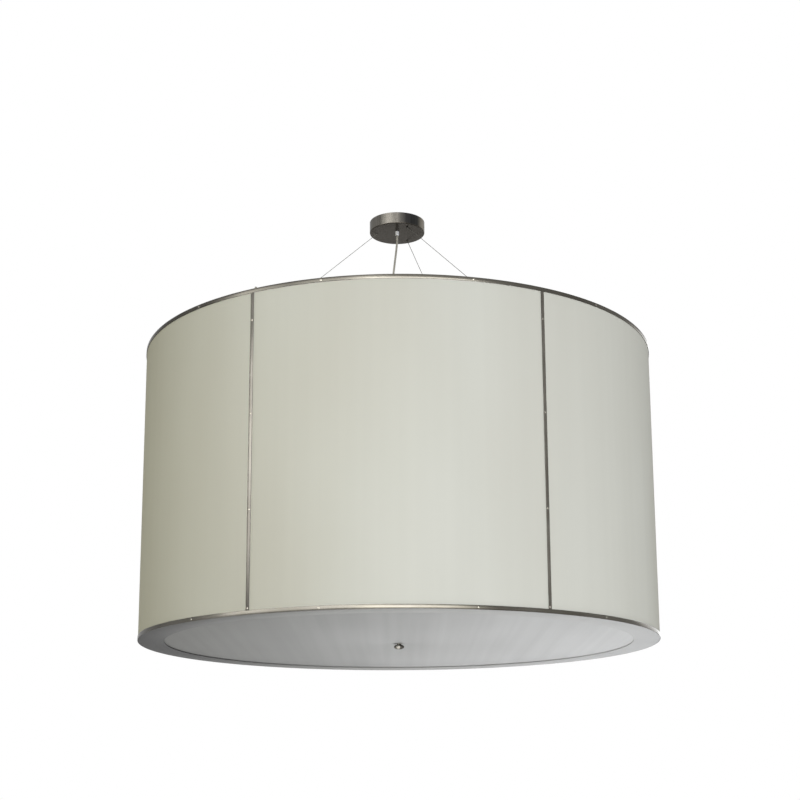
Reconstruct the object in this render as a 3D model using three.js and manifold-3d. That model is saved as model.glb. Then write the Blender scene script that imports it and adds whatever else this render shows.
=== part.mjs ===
// Large drum chandelier: six curved shade panels in a nickel frame, a flat diffuser below,
// six lamps on a spider inside, and three splayed cables from a small ceiling canopy.
// Millimetres, +Z up. The origin is on the ceiling, in the middle of the mounting plate.
// -Y is the side that the photograph shows.

import * as THREE from 'three';
import { mergeVertices } from 'three/addons/utils/BufferGeometryUtils.js';
import Module from 'manifold-3d';

const wasm = await Module();
wasm.setup();

// Driving dimensions of the drum
const drumDiameter = 1524;
const drumHeight = 863.6;
const canopyToDrum = 429.3;
const panelCount = 6;
const cableCount = 3;

// Rims, panels and trim
const bandHeight = 11;
const bandThickness = 1.6;
const stripWidth = 9.5;
const stripThickness = 1.6;
const panelThickness = 3.2;
const panelJoint = 0.8;
const flangeThickness = 3.2;
const bottomFlangeWidth = 76;
const topFlangeWidth = 32;
const uprightWidth = 19;
const uprightWall = 1.6;

// Clearances
const seat = 0.3;
const runningClearance = 0.4;
const overrun = 5;

// Ceiling canopy and mounting plate
const canopyDiameter = 171.45;
const canopyHeight = 34.9;
const canopyWall = 1.6;
const canopyBend = 3;
const plateClearance = 10.9;
const plateThickness = 3.2;
const boxScrewSpacing = 88.9;
const boxSlotWidth = 5.5;
const boxSlotLength = 14;

// Cable lines
const cableDiameter = 1.6;
const cableHoleInset = 24;
const cableHoleDiameter = 6.4;
const earDistance = 26;
const earWidth = 18;
const earThickness = 3.2;
const earOverhang = 8;
const gripperDiameter = 10.4;
const gripperLength = 13;
const gripperChamfer = 1.5;
const noseDiameter = 5;
const noseReach = 1.2;

// Lug on the upright and the cable's lower fork
const lugThickness = 3.2;
const lugReach = 17.6;
const lugDrop = 113.2;
const lugEndRadius = 8;
const lugRootHeight = 34;
const pinDiameter = 6;
const cheekThickness = 2.4;
const cheekRadius = 6.5;
const forkDepth = 14;
const shankDiameter = 5;
const shankLength = 24;

// Cord, its grip at the canopy, which stands a little in front of the middle, and its gland at the hub
const cordDiameter = 6.2;
const gripSetback = 16;
const gripTubeDiameter = 10;
const gripCollarDiameter = 12.6;
const gripCollarHeight = 1.4;
const gripBarrelDiameter = 11;
const gripBarrelLength = 11.6;
const gripMouthRadius = 2;
const glandFlangeDiameter = 18;
const glandFlangeHeight = 2.4;
const glandBarrelLength = 14;
const glandTopDiameter = 10;
const glandNeckDiameter = 12;

// Spider, hub and centre rod
const armDrop = 164;
const armWidth = 15.9;
const armHeight = 25.4;
const armWall = 1.6;
const armInnerRadius = 22;
const endPlateThickness = 3.2;
const endPlateHeight = 44;
const hubDiameter = 140;
const hubPlateThickness = 4.8;
const hubCoverWall = 1.6;
const hubHeadroom = 10;
const hubDomeRise = 6;
const rodDiameter = 9.5;
const rodHeadDiameter = 18;
const rodHeadHeight = 6;
const rodTipDiameter = 6.2;

// Lampholders and lamps
const lampRadius = 380;
const holderNeckDiameter = 9.6;
const holderShoulderDiameter = 24;
const holderTaper = 10;
const holderDiameter = 39;
const holderLength = 48;
const socketDiameter = 31;
const socketDepth = 30;
const lampCapDiameter = 26;
const lampCapLength = 26;
const lampTipDiameter = 10;
const lampTipLength = 4;
const lampNeckDiameter = 28;
const lampDiameter = 60;
const lampLength = 110;

// Diffuser and finial; the diffuser's rim laps over the bottom flange
const diffuserLap = 25;
const diffuserThickness = 4.8;
const washerDiameter = 19;
const washerThickness = 1.6;
const washerRimHeight = 0.8;
const finialDiameter = 31;
const finialCollarDiameter = 12;
const finialCollarHeight = 0.6;
const finialHeight = 15.6;
const finialThreadLength = 6.35;

// Facets, counted round a full circle, and the divisions of a bend, a dome and a lamp's curve
const ringSides = 72;
const canopySides = 40;
const plateSides = 30;
const turnedSides = 16;
const lampSides = 14;
const smallSides = 12;
const cordSides = 8;
const cordSteps = 30;
const bendSteps = 2;
const domeSteps = 4;
const lampCurveSteps = 3;

// Heights and radii that follow from the sizes above
const drumRadius = drumDiameter / 2;
const canopyUnderside = -canopyHeight;
const drumTop = canopyUnderside - canopyToDrum;
const drumBottom = drumTop - drumHeight;
const canopyRadius = canopyDiameter / 2;
const canopyInnerRadius = canopyRadius - canopyWall;
const plateRadius = canopyInnerRadius - plateClearance;
const cableHoleRadius = canopyRadius - cableHoleInset;
const panelOuterRadius = drumRadius - bandThickness - seat;
const panelInnerRadius = panelOuterRadius - panelThickness;
const hoopOuterRadius = panelInnerRadius - seat;
const hoopInnerRadius = hoopOuterRadius - uprightWidth;
const flangeInnerRadius = drumRadius - bottomFlangeWidth;
const uprightSetback = (uprightWidth / 2) * Math.tan(Math.PI / ringSides);
const uprightOuterRadius = hoopOuterRadius - uprightSetback;
const uprightInnerRadius = uprightOuterRadius - uprightWidth;
const uprightBottom = drumBottom + bandHeight + seat;
const uprightTop = drumTop - bandHeight - seat;
const armMiddle = drumTop - armDrop;
const armBottom = armMiddle - armHeight / 2;
const armTop = armMiddle + armHeight / 2;
const hubPlateTop = armBottom - seat;
const hubPlateBottom = hubPlateTop - hubPlateThickness;
const diffuserBottom = drumBottom + flangeThickness + seat;
const washerTop = diffuserBottom - seat;
const finialTop = washerTop - washerThickness - seat;
const rodTipEnd = finialTop - finialThreadLength;

// The cable's line, in the upright plane through the axis: from the fork's pin up to the canopy hole
const eyeRadius = uprightInnerRadius - lugReach;
const eyeHeight = drumTop - lugDrop;
const cableHoleHeight = canopyUnderside + canopyWall / 2;
const lineRise = cableHoleHeight - eyeHeight;
const lineRun = eyeRadius - cableHoleRadius;
const lineSlant = Math.atan2(lineRun, lineRise);
const lineToHole = Math.hypot(lineRun, lineRise);
const earMiddle = lineToHole + earDistance;
const earUpperFace = earMiddle + earThickness / 2;
const earLowerFace = earMiddle - earThickness / 2;

const fullTurn = 2 * Math.PI;
const quarterTurn = Math.PI / 2;

// Finishes
const finish = (color, roughness, metalness) => new THREE.MeshStandardMaterial({ color, roughness, metalness });
const brushedNickel = finish(0x8d897f, 0.34, 0.9);
const darkNickel = finish(0x5a564f, 0.3, 0.9);
const brightNickel = finish(0xb9b6ae, 0.22, 0.95);
const steelCable = finish(0xa9a9a6, 0.4, 0.8);
const greyPaint = finish(0x9a9a9a, 0.5, 0.3);
const whitePaint = finish(0xe8e6e0, 0.55, 0);
const shadeWhite = finish(0xd6d3c6, 0.6, 0);
const diffuserWhite = finish(0xe4e4e2, 0.5, 0);
const cordGrey = finish(0xa8a296, 0.6, 0);
const holderWhite = finish(0xefece4, 0.4, 0);
const lampWhite = finish(0xf4f2ea, 0.35, 0);

// Solids from closed meshes, and back
function toSolid(geometry) {
  const bare = geometry.clone();
  bare.deleteAttribute('normal');
  bare.deleteAttribute('uv');
  const welded = mergeVertices(bare, 1e-4);
  const corners = welded.index.array;
  const kept = [];
  for (let i = 0; i < corners.length; i += 3) {
    const [a, b, c] = corners.slice(i, i + 3);
    if (a !== b && b !== c && c !== a) kept.push(a, b, c);
  }
  const vertProperties = Float32Array.from(welded.attributes.position.array);
  return new wasm.Manifold(new wasm.Mesh({ numProp: 3, vertProperties, triVerts: Uint32Array.from(kept) }));
}

function toGeometry(solid) {
  const mesh = solid.getMesh();
  const geometry = new THREE.BufferGeometry();
  geometry.setAttribute('position', new THREE.BufferAttribute(mesh.vertProperties, 3));
  geometry.setIndex(new THREE.BufferAttribute(mesh.triVerts, 1));
  return geometry;
}

function join(...geometries) {
  return toGeometry(geometries.map(toSolid).reduce((whole, part) => whole.add(part)));
}

function cut(geometry, ...tools) {
  return toGeometry(tools.map(toSolid).reduce((whole, tool) => whole.subtract(tool), toSolid(geometry)));
}

// Revolve an outline of [radius, height] points, or of Vector2 points, about the Z axis
function revolve(outline, sides) {
  const points = outline.map((p) => (p.isVector2 ? p : new THREE.Vector2(...p)));
  if (THREE.ShapeUtils.area(points) < 0) points.reverse();
  const first = points[0];
  const last = points[points.length - 1];
  const onAxis = first.x === 0 && last.x === 0;
  if (!onAxis) points.push(first.clone());
  return new THREE.LatheGeometry(points, sides).rotateX(quarterTurn);
}

// An arc is cut into two facets for each of its curveSegments
function extrude(shape, depth, arcFacets = smallSides) {
  return new THREE.ExtrudeGeometry(shape, { depth, curveSegments: arcFacets / 2, bevelEnabled: false });
}

// Extrude a shape drawn in radius and height, centred on the plane through the axis
function extrudeUpright(shape, thickness) {
  return extrude(shape, thickness).rotateX(quarterTurn).translate(0, thickness / 2, 0);
}

function rectangle(left, right, bottom, top) {
  const shape = new THREE.Shape();
  shape.moveTo(left, bottom);
  shape.lineTo(right, bottom);
  shape.lineTo(right, top);
  shape.lineTo(left, top);
  shape.closePath();
  return shape;
}

function box(left, right, near, far, bottom, top) {
  return extrude(rectangle(left, right, near, far), top - bottom).translate(0, 0, bottom);
}

function rod(diameter, bottom, top, sides = turnedSides) {
  return revolve([[0, bottom], [diameter / 2, bottom], [diameter / 2, top], [0, top]], sides);
}

// The object and its turned places
const chandelier = new THREE.Group();

function add(name, geometry, material, parent = chandelier) {
  const mesh = new THREE.Mesh(geometry, material);
  mesh.name = name;
  parent.add(mesh);
  return mesh;
}

function turnedPlace(angle) {
  const place = new THREE.Group();
  place.rotation.z = angle;
  chandelier.add(place);
  return place;
}

// A place whose Z axis runs up along a cable from its fork's pin
function linePlace(angle) {
  const line = new THREE.Group();
  line.position.set(eyeRadius, 0, eyeHeight);
  line.rotation.y = -lineSlant;
  turnedPlace(angle).add(line);
  line.updateWorldMatrix(true, false);
  return line;
}

const uprightAngle = (i) => (i * fullTurn) / panelCount;
const cableAngle = (i) => fullTurn / panelCount + (i * fullTurn) / cableCount;
const linePlaces = Array.from({ length: cableCount }, (_, i) => linePlace(cableAngle(i)));

// Mounting plate: a disc with two slots for the ceiling box and three ears bent square to the cables
function ear() {
  const bendLength = (-plateThickness / 2 - pointOnLine(earMiddle).y) / Math.sin(lineSlant);
  const blank = rectangle(-earOverhang, bendLength, -earThickness / 2, earThickness / 2);
  return extrudeUpright(blank, earWidth).translate(0, 0, earMiddle);
}

function pointOnLine(distance) {
  const radius = eyeRadius - distance * Math.sin(lineSlant);
  return new THREE.Vector2(radius, eyeHeight + distance * Math.cos(lineSlant));
}

function boxSlot(side) {
  const reach = (boxSlotLength - boxSlotWidth) / 2;
  const slot = new THREE.Path();
  const y = (side * boxScrewSpacing) / 2;
  slot.absarc(reach, y, boxSlotWidth / 2, -quarterTurn, quarterTurn, false);
  slot.absarc(-reach, y, boxSlotWidth / 2, quarterTurn, 3 * quarterTurn, false);
  slot.closePath();
  return slot;
}

function mountingPlate() {
  const disc = new THREE.Shape();
  disc.absarc(0, 0, plateRadius, 0, fullTurn, false);
  const gripHole = new THREE.Path();
  gripHole.absarc(0, -gripSetback, gripTubeDiameter / 2 + seat, 0, fullTurn, false);
  disc.holes.push(gripHole, boxSlot(1), boxSlot(-1));
  const blank = extrude(disc, plateThickness, plateSides).translate(0, 0, -plateThickness);
  const ears = linePlaces.map((line) => ear().applyMatrix4(line.matrixWorld));
  const earHole = rod(noseDiameter + 2 * seat, earLowerFace - overrun, earUpperFace + overrun, smallSides);
  return cut(join(blank, ...ears), ...linePlaces.map((line) => earHole.clone().applyMatrix4(line.matrixWorld)));
}

// Canopy: a spun cup against the ceiling, with a hole for the grip and one for each cable
function canopy() {
  const floor = canopyUnderside + canopyWall;
  const outline = new THREE.Path();
  outline.moveTo(0, canopyUnderside);
  outline.absarc(canopyRadius - canopyBend, canopyUnderside + canopyBend, canopyBend, -quarterTurn, 0, false);
  outline.lineTo(canopyRadius, 0);
  outline.lineTo(canopyInnerRadius, 0);
  outline.lineTo(canopyInnerRadius, floor);
  outline.lineTo(0, floor);
  const cup = revolve(outline.getPoints(bendSteps), canopySides);
  const gripHole = rod(gripTubeDiameter + 2 * seat, canopyUnderside - overrun, floor + overrun);
  const throat = rod(cableHoleDiameter, lineToHole - 2 * overrun, lineToHole + 2 * overrun, smallSides);
  const throats = linePlaces.map((line) => throat.clone().applyMatrix4(line.matrixWorld));
  return cut(cup, gripHole.translate(0, -gripSetback, 0), ...throats);
}

// Cord grip: its threaded tube runs up through the canopy into the plate, its collar holds the canopy up
const gripBore = cordDiameter / 2 + runningClearance;
const gripMouth = canopyUnderside - seat - gripCollarHeight - gripBarrelLength;

function cordGrip() {
  const tube = gripTubeDiameter / 2;
  const collar = gripCollarDiameter / 2;
  const barrel = gripBarrelDiameter / 2;
  const collarTop = canopyUnderside - seat;
  const collarBottom = collarTop - gripCollarHeight;
  const outline = new THREE.Path();
  outline.moveTo(gripBore, -plateThickness / 2);
  outline.lineTo(gripBore, gripMouth);
  outline.absarc(barrel - gripMouthRadius, gripMouth + gripMouthRadius, gripMouthRadius, -quarterTurn, 0, false);
  outline.lineTo(barrel, collarBottom);
  outline.lineTo(collar, collarBottom);
  outline.lineTo(collar, collarTop);
  outline.lineTo(tube, collarTop);
  outline.lineTo(tube, -plateThickness / 2);
  return revolve(outline.getPoints(bendSteps), turnedSides).translate(0, -gripSetback, 0);
}

// Cable gripper: a barrel that bears on the ear from above, its nose through the ear's hole
function cableGripper() {
  const barrel = gripperDiameter / 2;
  const nose = noseDiameter / 2;
  const bottom = earUpperFace + seat;
  const top = bottom + gripperLength;
  return revolve([
    [0, earLowerFace - noseReach],
    [nose, earLowerFace - noseReach],
    [nose, bottom],
    [barrel, bottom],
    [barrel, top - gripperChamfer],
    [barrel - gripperChamfer, top],
    [0, top],
  ], turnedSides);
}

// Cable: straight and taut from the gripper's nose to the fork's shank
function cable() {
  const bottom = shankLength + seat;
  const top = earLowerFace - noseReach - seat;
  const section = new THREE.Shape();
  section.absarc(0, 0, cableDiameter / 2, 0, fullTurn, false);
  return extrude(section, top - bottom, cordSides).translate(0, 0, bottom);
}

// Cable fork: two cheeks and their pin, below a shank pressed on the cable
function cableFork() {
  const gap = lugThickness / 2 + seat;
  const cheek = new THREE.Shape();
  cheek.absarc(0, 0, cheekRadius, Math.PI, fullTurn, false);
  cheek.lineTo(cheekRadius, forkDepth);
  cheek.lineTo(-cheekRadius, forkDepth);
  cheek.closePath();
  const width = 2 * (gap + cheekThickness);
  const block = extrudeUpright(cheek, width);
  const slotTop = lugEndRadius + seat;
  const slot = box(-cheekRadius - overrun, cheekRadius + overrun, -gap, gap, -cheekRadius - overrun, slotTop);
  const pin = rod(pinDiameter, -width / 2, width / 2, smallSides).rotateX(quarterTurn);
  const shank = revolve([
    [0, forkDepth - cheekThickness],
    [cheekRadius, forkDepth - cheekThickness],
    [shankDiameter / 2, forkDepth + cheekThickness],
    [shankDiameter / 2, shankLength],
    [0, shankLength],
  ], smallSides);
  return join(cut(block, slot), pin, shank);
}

// Power cord: hangs a little slack from the grip, bowing to the left, and enters the hub's gland upright
const hubCoverTop = armTop + seat + hubHeadroom + hubDomeRise;
const glandTop = hubCoverTop + seat + glandFlangeHeight + glandBarrelLength;
const cordTop = gripMouth - seat;
const cordBottom = glandTop + seat;

// Each row is the cord's offset towards X and Y from the line between the grip and the gland,
// at a share of its fall. Its ends are upright, so the line itself eases in and out.
const cordOffsets = [
  { fallShare: 0, x: 0, y: 0 },
  { fallShare: 0.02, x: 0, y: 0 },
  { fallShare: 0.04, x: -0.4, y: 0.1 },
  { fallShare: 0.07, x: -1.8, y: 0.4 },
  { fallShare: 0.12, x: -4.8, y: 1 },
  { fallShare: 0.21, x: -10.6, y: 2.4 },
  { fallShare: 0.33, x: -18, y: 4.4 },
  { fallShare: 0.45, x: -24, y: 6.2 },
  { fallShare: 0.56, x: -26.8, y: 7.2 },
  { fallShare: 0.66, x: -25.4, y: 7 },
  { fallShare: 0.76, x: -19.6, y: 5.4 },
  { fallShare: 0.85, x: -11, y: 3 },
  { fallShare: 0.91, x: -4.8, y: 1.2 },
  { fallShare: 0.955, x: -1, y: 0.2 },
  { fallShare: 0.98, x: 0, y: 0 },
  { fallShare: 1, x: 0, y: 0 },
];

function powerCord() {
  const fall = cordBottom - cordTop;
  const points = cordOffsets.map((p) => {
    const setback = gripSetback * (1 - THREE.MathUtils.smoothstep(p.fallShare, 0, 1));
    return new THREE.Vector3(p.x, p.y - setback, cordTop + p.fallShare * fall);
  });
  const route = new THREE.CatmullRomCurve3(points);
  const section = new THREE.Shape();
  section.absarc(0, 0, cordDiameter / 2, 0, fullTurn, false);
  return new THREE.ExtrudeGeometry(section, { steps: cordSteps, curveSegments: cordSides / 2, extrudePath: route });
}

// Rings: a rolled flange with a hoop on it that the uprights stand on
function ringOutline(innerRadius, outward) {
  const edge = outward > 0 ? drumTop : drumBottom;
  const flangeFace = edge - outward * flangeThickness;
  const hoopFace = edge - outward * bandHeight;
  return [
    [innerRadius, edge],
    [panelOuterRadius, edge],
    [panelOuterRadius, flangeFace],
    [hoopOuterRadius, flangeFace],
    [hoopOuterRadius, hoopFace],
    [hoopInnerRadius, hoopFace],
    [hoopInnerRadius, flangeFace],
    [innerRadius, flangeFace],
  ];
}

function rimBand(bottom) {
  const inner = drumRadius - bandThickness;
  return revolve([
    [inner, bottom],
    [drumRadius, bottom],
    [drumRadius, bottom + bandHeight],
    [inner, bottom + bandHeight],
  ], ringSides);
}

// Shade panel: a curved sheet over one sixth of the drum, its side edges behind the trim strips
function shadePanel() {
  const bottom = drumBottom + flangeThickness + seat;
  const top = drumTop - flangeThickness - seat;
  const start = panelJoint / 2 / panelOuterRadius;
  const end = fullTurn / panelCount - start;
  const sheet = new THREE.Shape();
  sheet.absarc(0, 0, panelOuterRadius, start, end, false);
  sheet.absarc(0, 0, panelInnerRadius, end, start, true);
  sheet.closePath();
  return extrude(sheet, top - bottom, ringSides / panelCount).translate(0, 0, bottom);
}

// Upright: a square tube behind each panel joint, with a lug for the cable's fork where a cable comes down
function uprightTube() {
  const half = uprightWidth / 2;
  const section = rectangle(uprightInnerRadius, uprightOuterRadius, -half, half);
  const bore = rectangle(uprightInnerRadius + uprightWall, uprightOuterRadius - uprightWall,
    uprightWall - half, half - uprightWall);
  section.holes.push(bore);
  return extrude(section, uprightTop - uprightBottom).translate(0, 0, uprightBottom);
}

function lug() {
  const root = uprightInnerRadius + uprightWall / 2;
  const half = lugRootHeight / 2;
  const plate = new THREE.Shape();
  plate.moveTo(root, eyeHeight - half);
  plate.lineTo(root, eyeHeight + half);
  plate.lineTo(uprightInnerRadius - seat, eyeHeight + half);
  plate.absarc(eyeRadius, eyeHeight, lugEndRadius, quarterTurn, 3 * quarterTurn, false);
  plate.lineTo(uprightInnerRadius - seat, eyeHeight - half);
  plate.closePath();
  const eye = new THREE.Path();
  eye.absarc(eyeRadius, eyeHeight, pinDiameter / 2 + seat, 0, fullTurn, false);
  plate.holes.push(eye);
  return extrudeUpright(plate, lugThickness);
}

function trimStrip() {
  const half = stripWidth / 2;
  const bottom = drumBottom + bandHeight + seat;
  const top = drumTop - bandHeight - seat;
  return box(drumRadius - stripThickness, drumRadius, -half, half, bottom, top);
}

// Spider arm: a tube on the hub plate, with an end plate against the upright and a hole for its lampholder
function arm() {
  const half = armWidth / 2;
  const plateOuter = uprightInnerRadius - seat;
  const plateInner = plateOuter - endPlateThickness;
  const bar = box(armInnerRadius, plateInner + armWall, -half, half, armBottom, armTop);
  const bore = box(armInnerRadius - overrun, plateInner, armWall - half, half - armWall,
    armBottom + armWall, armTop - armWall);
  const plateHalf = uprightWidth / 2;
  const endPlate = box(plateInner, plateOuter, -plateHalf, plateHalf,
    armMiddle - endPlateHeight / 2, armMiddle + endPlateHeight / 2);
  const neckHole = rod(holderNeckDiameter + 2 * seat, armBottom - overrun, armBottom + armWall + seat, smallSides);
  return cut(join(bar, endPlate), bore, neckHole.translate(lampRadius, 0, 0));
}

function hubPlate() {
  const outer = hubDiameter / 2;
  const inner = rodDiameter / 2 + seat;
  return revolve([
    [inner, hubPlateBottom],
    [outer, hubPlateBottom],
    [outer, hubPlateTop],
    [inner, hubPlateTop],
  ], plateSides);
}

// Hub cover: a shallow domed cup over the arms' inner ends, notched round each arm
function hubCover() {
  const outer = hubDiameter / 2;
  const inner = outer - hubCoverWall;
  const hole = glandNeckDiameter / 2 + seat;
  const brim = hubPlateTop + seat;
  const eaves = hubCoverTop - hubDomeRise;
  const outline = new THREE.Path();
  outline.moveTo(hole, hubCoverTop - hubCoverWall);
  outline.quadraticCurveTo(outer / 2, hubCoverTop - hubCoverWall, inner, eaves - hubCoverWall);
  outline.lineTo(inner, brim);
  outline.lineTo(outer, brim);
  outline.lineTo(outer, eaves);
  outline.quadraticCurveTo(outer / 2, hubCoverTop, hole, hubCoverTop);
  const cup = revolve(outline.getPoints(domeSteps), plateSides);
  const half = armWidth / 2 + seat;
  const notch = box(outer / 2, outer + overrun, -half, half, brim - overrun, armTop + seat);
  const angles = Array.from({ length: panelCount }, (_, i) => uprightAngle(i));
  return cut(cup, ...angles.map((angle) => notch.clone().rotateZ(angle)));
}

function hubGland() {
  const neck = glandNeckDiameter / 2;
  const flange = glandFlangeDiameter / 2;
  const flangeBottom = hubCoverTop + seat;
  const flangeTop = flangeBottom + glandFlangeHeight;
  const neckBottom = hubCoverTop - 2 * hubCoverWall;
  return revolve([
    [gripBore, neckBottom],
    [neck, neckBottom],
    [neck, flangeBottom],
    [flange, flangeBottom],
    [flange, flangeTop],
    [glandTopDiameter / 2, glandTop],
    [gripBore, glandTop],
  ], turnedSides);
}

// Centre rod: its head bears on the hub plate, its thinner tip carries the washer and the finial
function centreRod() {
  const shaft = rodDiameter / 2;
  const head = rodHeadDiameter / 2;
  const tip = rodTipDiameter / 2;
  const headBottom = hubPlateTop + seat;
  return revolve([
    [0, rodTipEnd],
    [tip, rodTipEnd],
    [tip, washerTop + seat],
    [shaft, washerTop + seat],
    [shaft, headBottom],
    [head, headBottom],
    [head, headBottom + rodHeadHeight],
    [0, headBottom + rodHeadHeight],
  ], turnedSides);
}

// Lampholder: hangs under its arm by a neck, open below for the lamp's cap
const holderTop = armBottom - seat;
const holderMouth = holderTop - holderLength;
const socketTop = holderMouth + socketDepth;

function lampholder() {
  const neck = holderNeckDiameter / 2;
  const shoulder = holderShoulderDiameter / 2;
  const shell = holderDiameter / 2;
  const socket = socketDiameter / 2;
  const neckTop = armBottom + 2 * armWall;
  return revolve([
    [0, socketTop],
    [socket, socketTop],
    [socket, holderMouth],
    [shell, holderMouth],
    [shell, holderTop - holderTaper],
    [shoulder, holderTop],
    [neck, holderTop],
    [neck, neckTop],
    [0, neckTop],
  ], lampSides);
}

function lamp() {
  const top = socketTop - seat;
  const tip = lampTipDiameter / 2;
  const cap = lampCapDiameter / 2;
  const neck = lampNeckDiameter / 2;
  const globe = lampDiameter / 2;
  const capTop = top - lampTipLength;
  const capBottom = capTop - lampCapLength;
  const globeMiddle = top - lampLength + globe;
  const outline = new THREE.Path();
  outline.moveTo(0, top);
  outline.lineTo(tip, top);
  outline.lineTo(cap, capTop);
  outline.lineTo(cap, capBottom);
  outline.lineTo(neck, capBottom - lampTipLength);
  outline.bezierCurveTo(neck, globeMiddle + globe, globe, globeMiddle + globe, globe, globeMiddle);
  outline.absarc(0, globeMiddle, globe, 0, -quarterTurn, true);
  const points = outline.getPoints(lampCurveSteps);
  points[points.length - 1].x = 0;
  return revolve(points, lampSides);
}

function diffuser() {
  const outer = flangeInnerRadius + diffuserLap;
  const hole = rodDiameter / 2 + 2 * runningClearance;
  const top = diffuserBottom + diffuserThickness;
  return revolve([[hole, diffuserBottom], [outer, diffuserBottom], [outer, top], [hole, top]], ringSides);
}

function finialWasher() {
  const rim = washerDiameter / 2;
  const hole = rodTipDiameter / 2 + runningClearance;
  const bottom = washerTop - washerThickness;
  return revolve([
    [hole, bottom],
    [finialCollarDiameter / 2, bottom],
    [rim, washerTop - washerRimHeight],
    [rim, washerTop],
    [hole, washerTop],
  ], turnedSides);
}

// Finial: a low turned knob with a blind bore for the rod's tip
function finial() {
  const bore = rodTipDiameter / 2 + runningClearance;
  const boreTop = finialTop;
  const boreEnd = rodTipEnd - seat;
  const collar = finialCollarDiameter / 2;
  const knob = finialDiameter / 2;
  const bottom = finialTop - finialHeight;
  const knobHalfHeight = (finialHeight - finialCollarHeight) / 2;
  const collarEnd = Math.acos(collar / knob);
  const outline = new THREE.Path();
  outline.moveTo(0, boreEnd);
  outline.lineTo(bore, boreEnd);
  outline.lineTo(bore, boreTop);
  outline.lineTo(collar, boreTop);
  outline.absellipse(0, bottom + knobHalfHeight, knob, knobHalfHeight, collarEnd, -quarterTurn, true);
  const points = outline.getPoints(lampCurveSteps);
  points[points.length - 1].x = 0;
  return revolve(points, turnedSides);
}

// Assembly
add('ceiling_plate', mountingPlate(), greyPaint);
add('canopy', canopy(), darkNickel);
add('cord_grip', cordGrip(), brightNickel);
add('power_cord', powerCord(), cordGrey);

linePlaces.forEach((line, i) => {
  add(`cable_gripper_${i + 1}`, cableGripper(), brightNickel, line);
  add(`cable_${i + 1}`, cable(), steelCable, line);
  add(`cable_fork_${i + 1}`, cableFork(), brightNickel, line);
});

add('top_ring', revolve(ringOutline(drumRadius - topFlangeWidth, 1), ringSides), greyPaint);
add('bottom_ring', revolve(ringOutline(flangeInnerRadius, -1), ringSides), greyPaint);
add('top_band', rimBand(drumTop - bandHeight), brushedNickel);
add('bottom_band', rimBand(drumBottom), brushedNickel);

const cableAngles = linePlaces.map((_, i) => cableAngle(i));
const hasCable = (angle) => cableAngles.some((other) => Math.abs(other - angle) < 1e-6);

for (let i = 0; i < panelCount; i += 1) {
  const angle = uprightAngle(i);
  const place = turnedPlace(angle);
  const upright = hasCable(angle) ? join(uprightTube(), lug()) : uprightTube();
  add(`upright_${i + 1}`, upright, whitePaint, place);
  add(`trim_strip_${i + 1}`, trimStrip(), brushedNickel, place);
  add(`shade_panel_${i + 1}`, shadePanel(), shadeWhite, place);
  add(`arm_${i + 1}`, arm(), whitePaint, place);
  add(`lampholder_${i + 1}`, lampholder(), holderWhite, place).position.x = lampRadius;
  add(`lamp_${i + 1}`, lamp(), lampWhite, place).position.x = lampRadius;
}

add('hub_plate', hubPlate(), whitePaint);
add('hub_cover', hubCover(), whitePaint);
add('hub_gland', hubGland(), holderWhite);
add('centre_rod', centreRod(), brightNickel);
add('diffuser', diffuser(), diffuserWhite);
add('finial_washer', finialWasher(), brightNickel);
add('finial', finial(), brightNickel);

export default chandelier;
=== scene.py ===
"""Dress the drum chandelier: panels, rims and fittings, cables and cord, finishes and light.

Everything is in metres, in the part's own frame. The origin is on the ceiling in the middle of the mounting
plate, +Z is up, and -Y is the side that the photograph shows. An upright's angle is counted from +X.
"""

import logging
import math
from collections.abc import Callable, Iterator, Sequence
from contextlib import contextmanager
from dataclasses import dataclass, field
from enum import Enum

import bmesh
import bpy
from mathutils import Matrix, Vector


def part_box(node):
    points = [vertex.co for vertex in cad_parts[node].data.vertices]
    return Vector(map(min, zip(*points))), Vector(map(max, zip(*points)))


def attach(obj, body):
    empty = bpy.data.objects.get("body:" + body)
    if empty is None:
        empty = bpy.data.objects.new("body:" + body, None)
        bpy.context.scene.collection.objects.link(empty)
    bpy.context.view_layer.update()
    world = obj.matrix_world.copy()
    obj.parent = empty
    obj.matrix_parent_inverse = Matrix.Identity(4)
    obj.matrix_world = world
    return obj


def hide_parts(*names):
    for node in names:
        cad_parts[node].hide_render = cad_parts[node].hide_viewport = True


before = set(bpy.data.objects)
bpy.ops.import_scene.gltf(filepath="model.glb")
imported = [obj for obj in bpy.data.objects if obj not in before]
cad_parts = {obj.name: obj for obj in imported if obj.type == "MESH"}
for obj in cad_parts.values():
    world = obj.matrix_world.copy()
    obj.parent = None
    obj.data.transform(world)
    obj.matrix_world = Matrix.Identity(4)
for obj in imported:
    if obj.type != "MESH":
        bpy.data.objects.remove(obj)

log = logging.getLogger("drum_chandelier")

MM = 0.001
FULL_TURN = 2 * math.pi
QUARTER_TURN = math.pi / 2

# The gap that the frame leaves between faces that meet
SEAT = 0.3 * MM
# Width in degrees of the facets of the frame's rings
RING_FACET = 5.0
# Points closer than this are merged
WELD = 0.001 * MM
# Edges sharper than this, in degrees, are rounded, and shaded as edges
SHARP = 35
# Stretches round the drum's large circles
RIM_STEPS = 360

# Numbers of the uprights, of the cables and of the uprights that carry a cable or a stud
UPRIGHTS = range(1, 7)
CABLE_UPRIGHTS = (2, 4, 6)
CABLES = range(1, 1 + len(CABLE_UPRIGHTS))
STUD_UPRIGHTS = (1, 3, 5)

# The part of its range that most of a noise fills
NOISE_MIDDLE = (0.3, 0.7)
SEEN_RAYS = ("Is Camera Ray", "Is Glossy Ray", "Is Transmission Ray")

Point = tuple[float, float]
Triple = tuple[float, float, float]
Outline = Sequence[Point]
Stops = Sequence[tuple[float, str]]
Piece = bpy.types.Object
Socket = bpy.types.NodeSocket
Layers = tuple[Socket, Socket]


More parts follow.
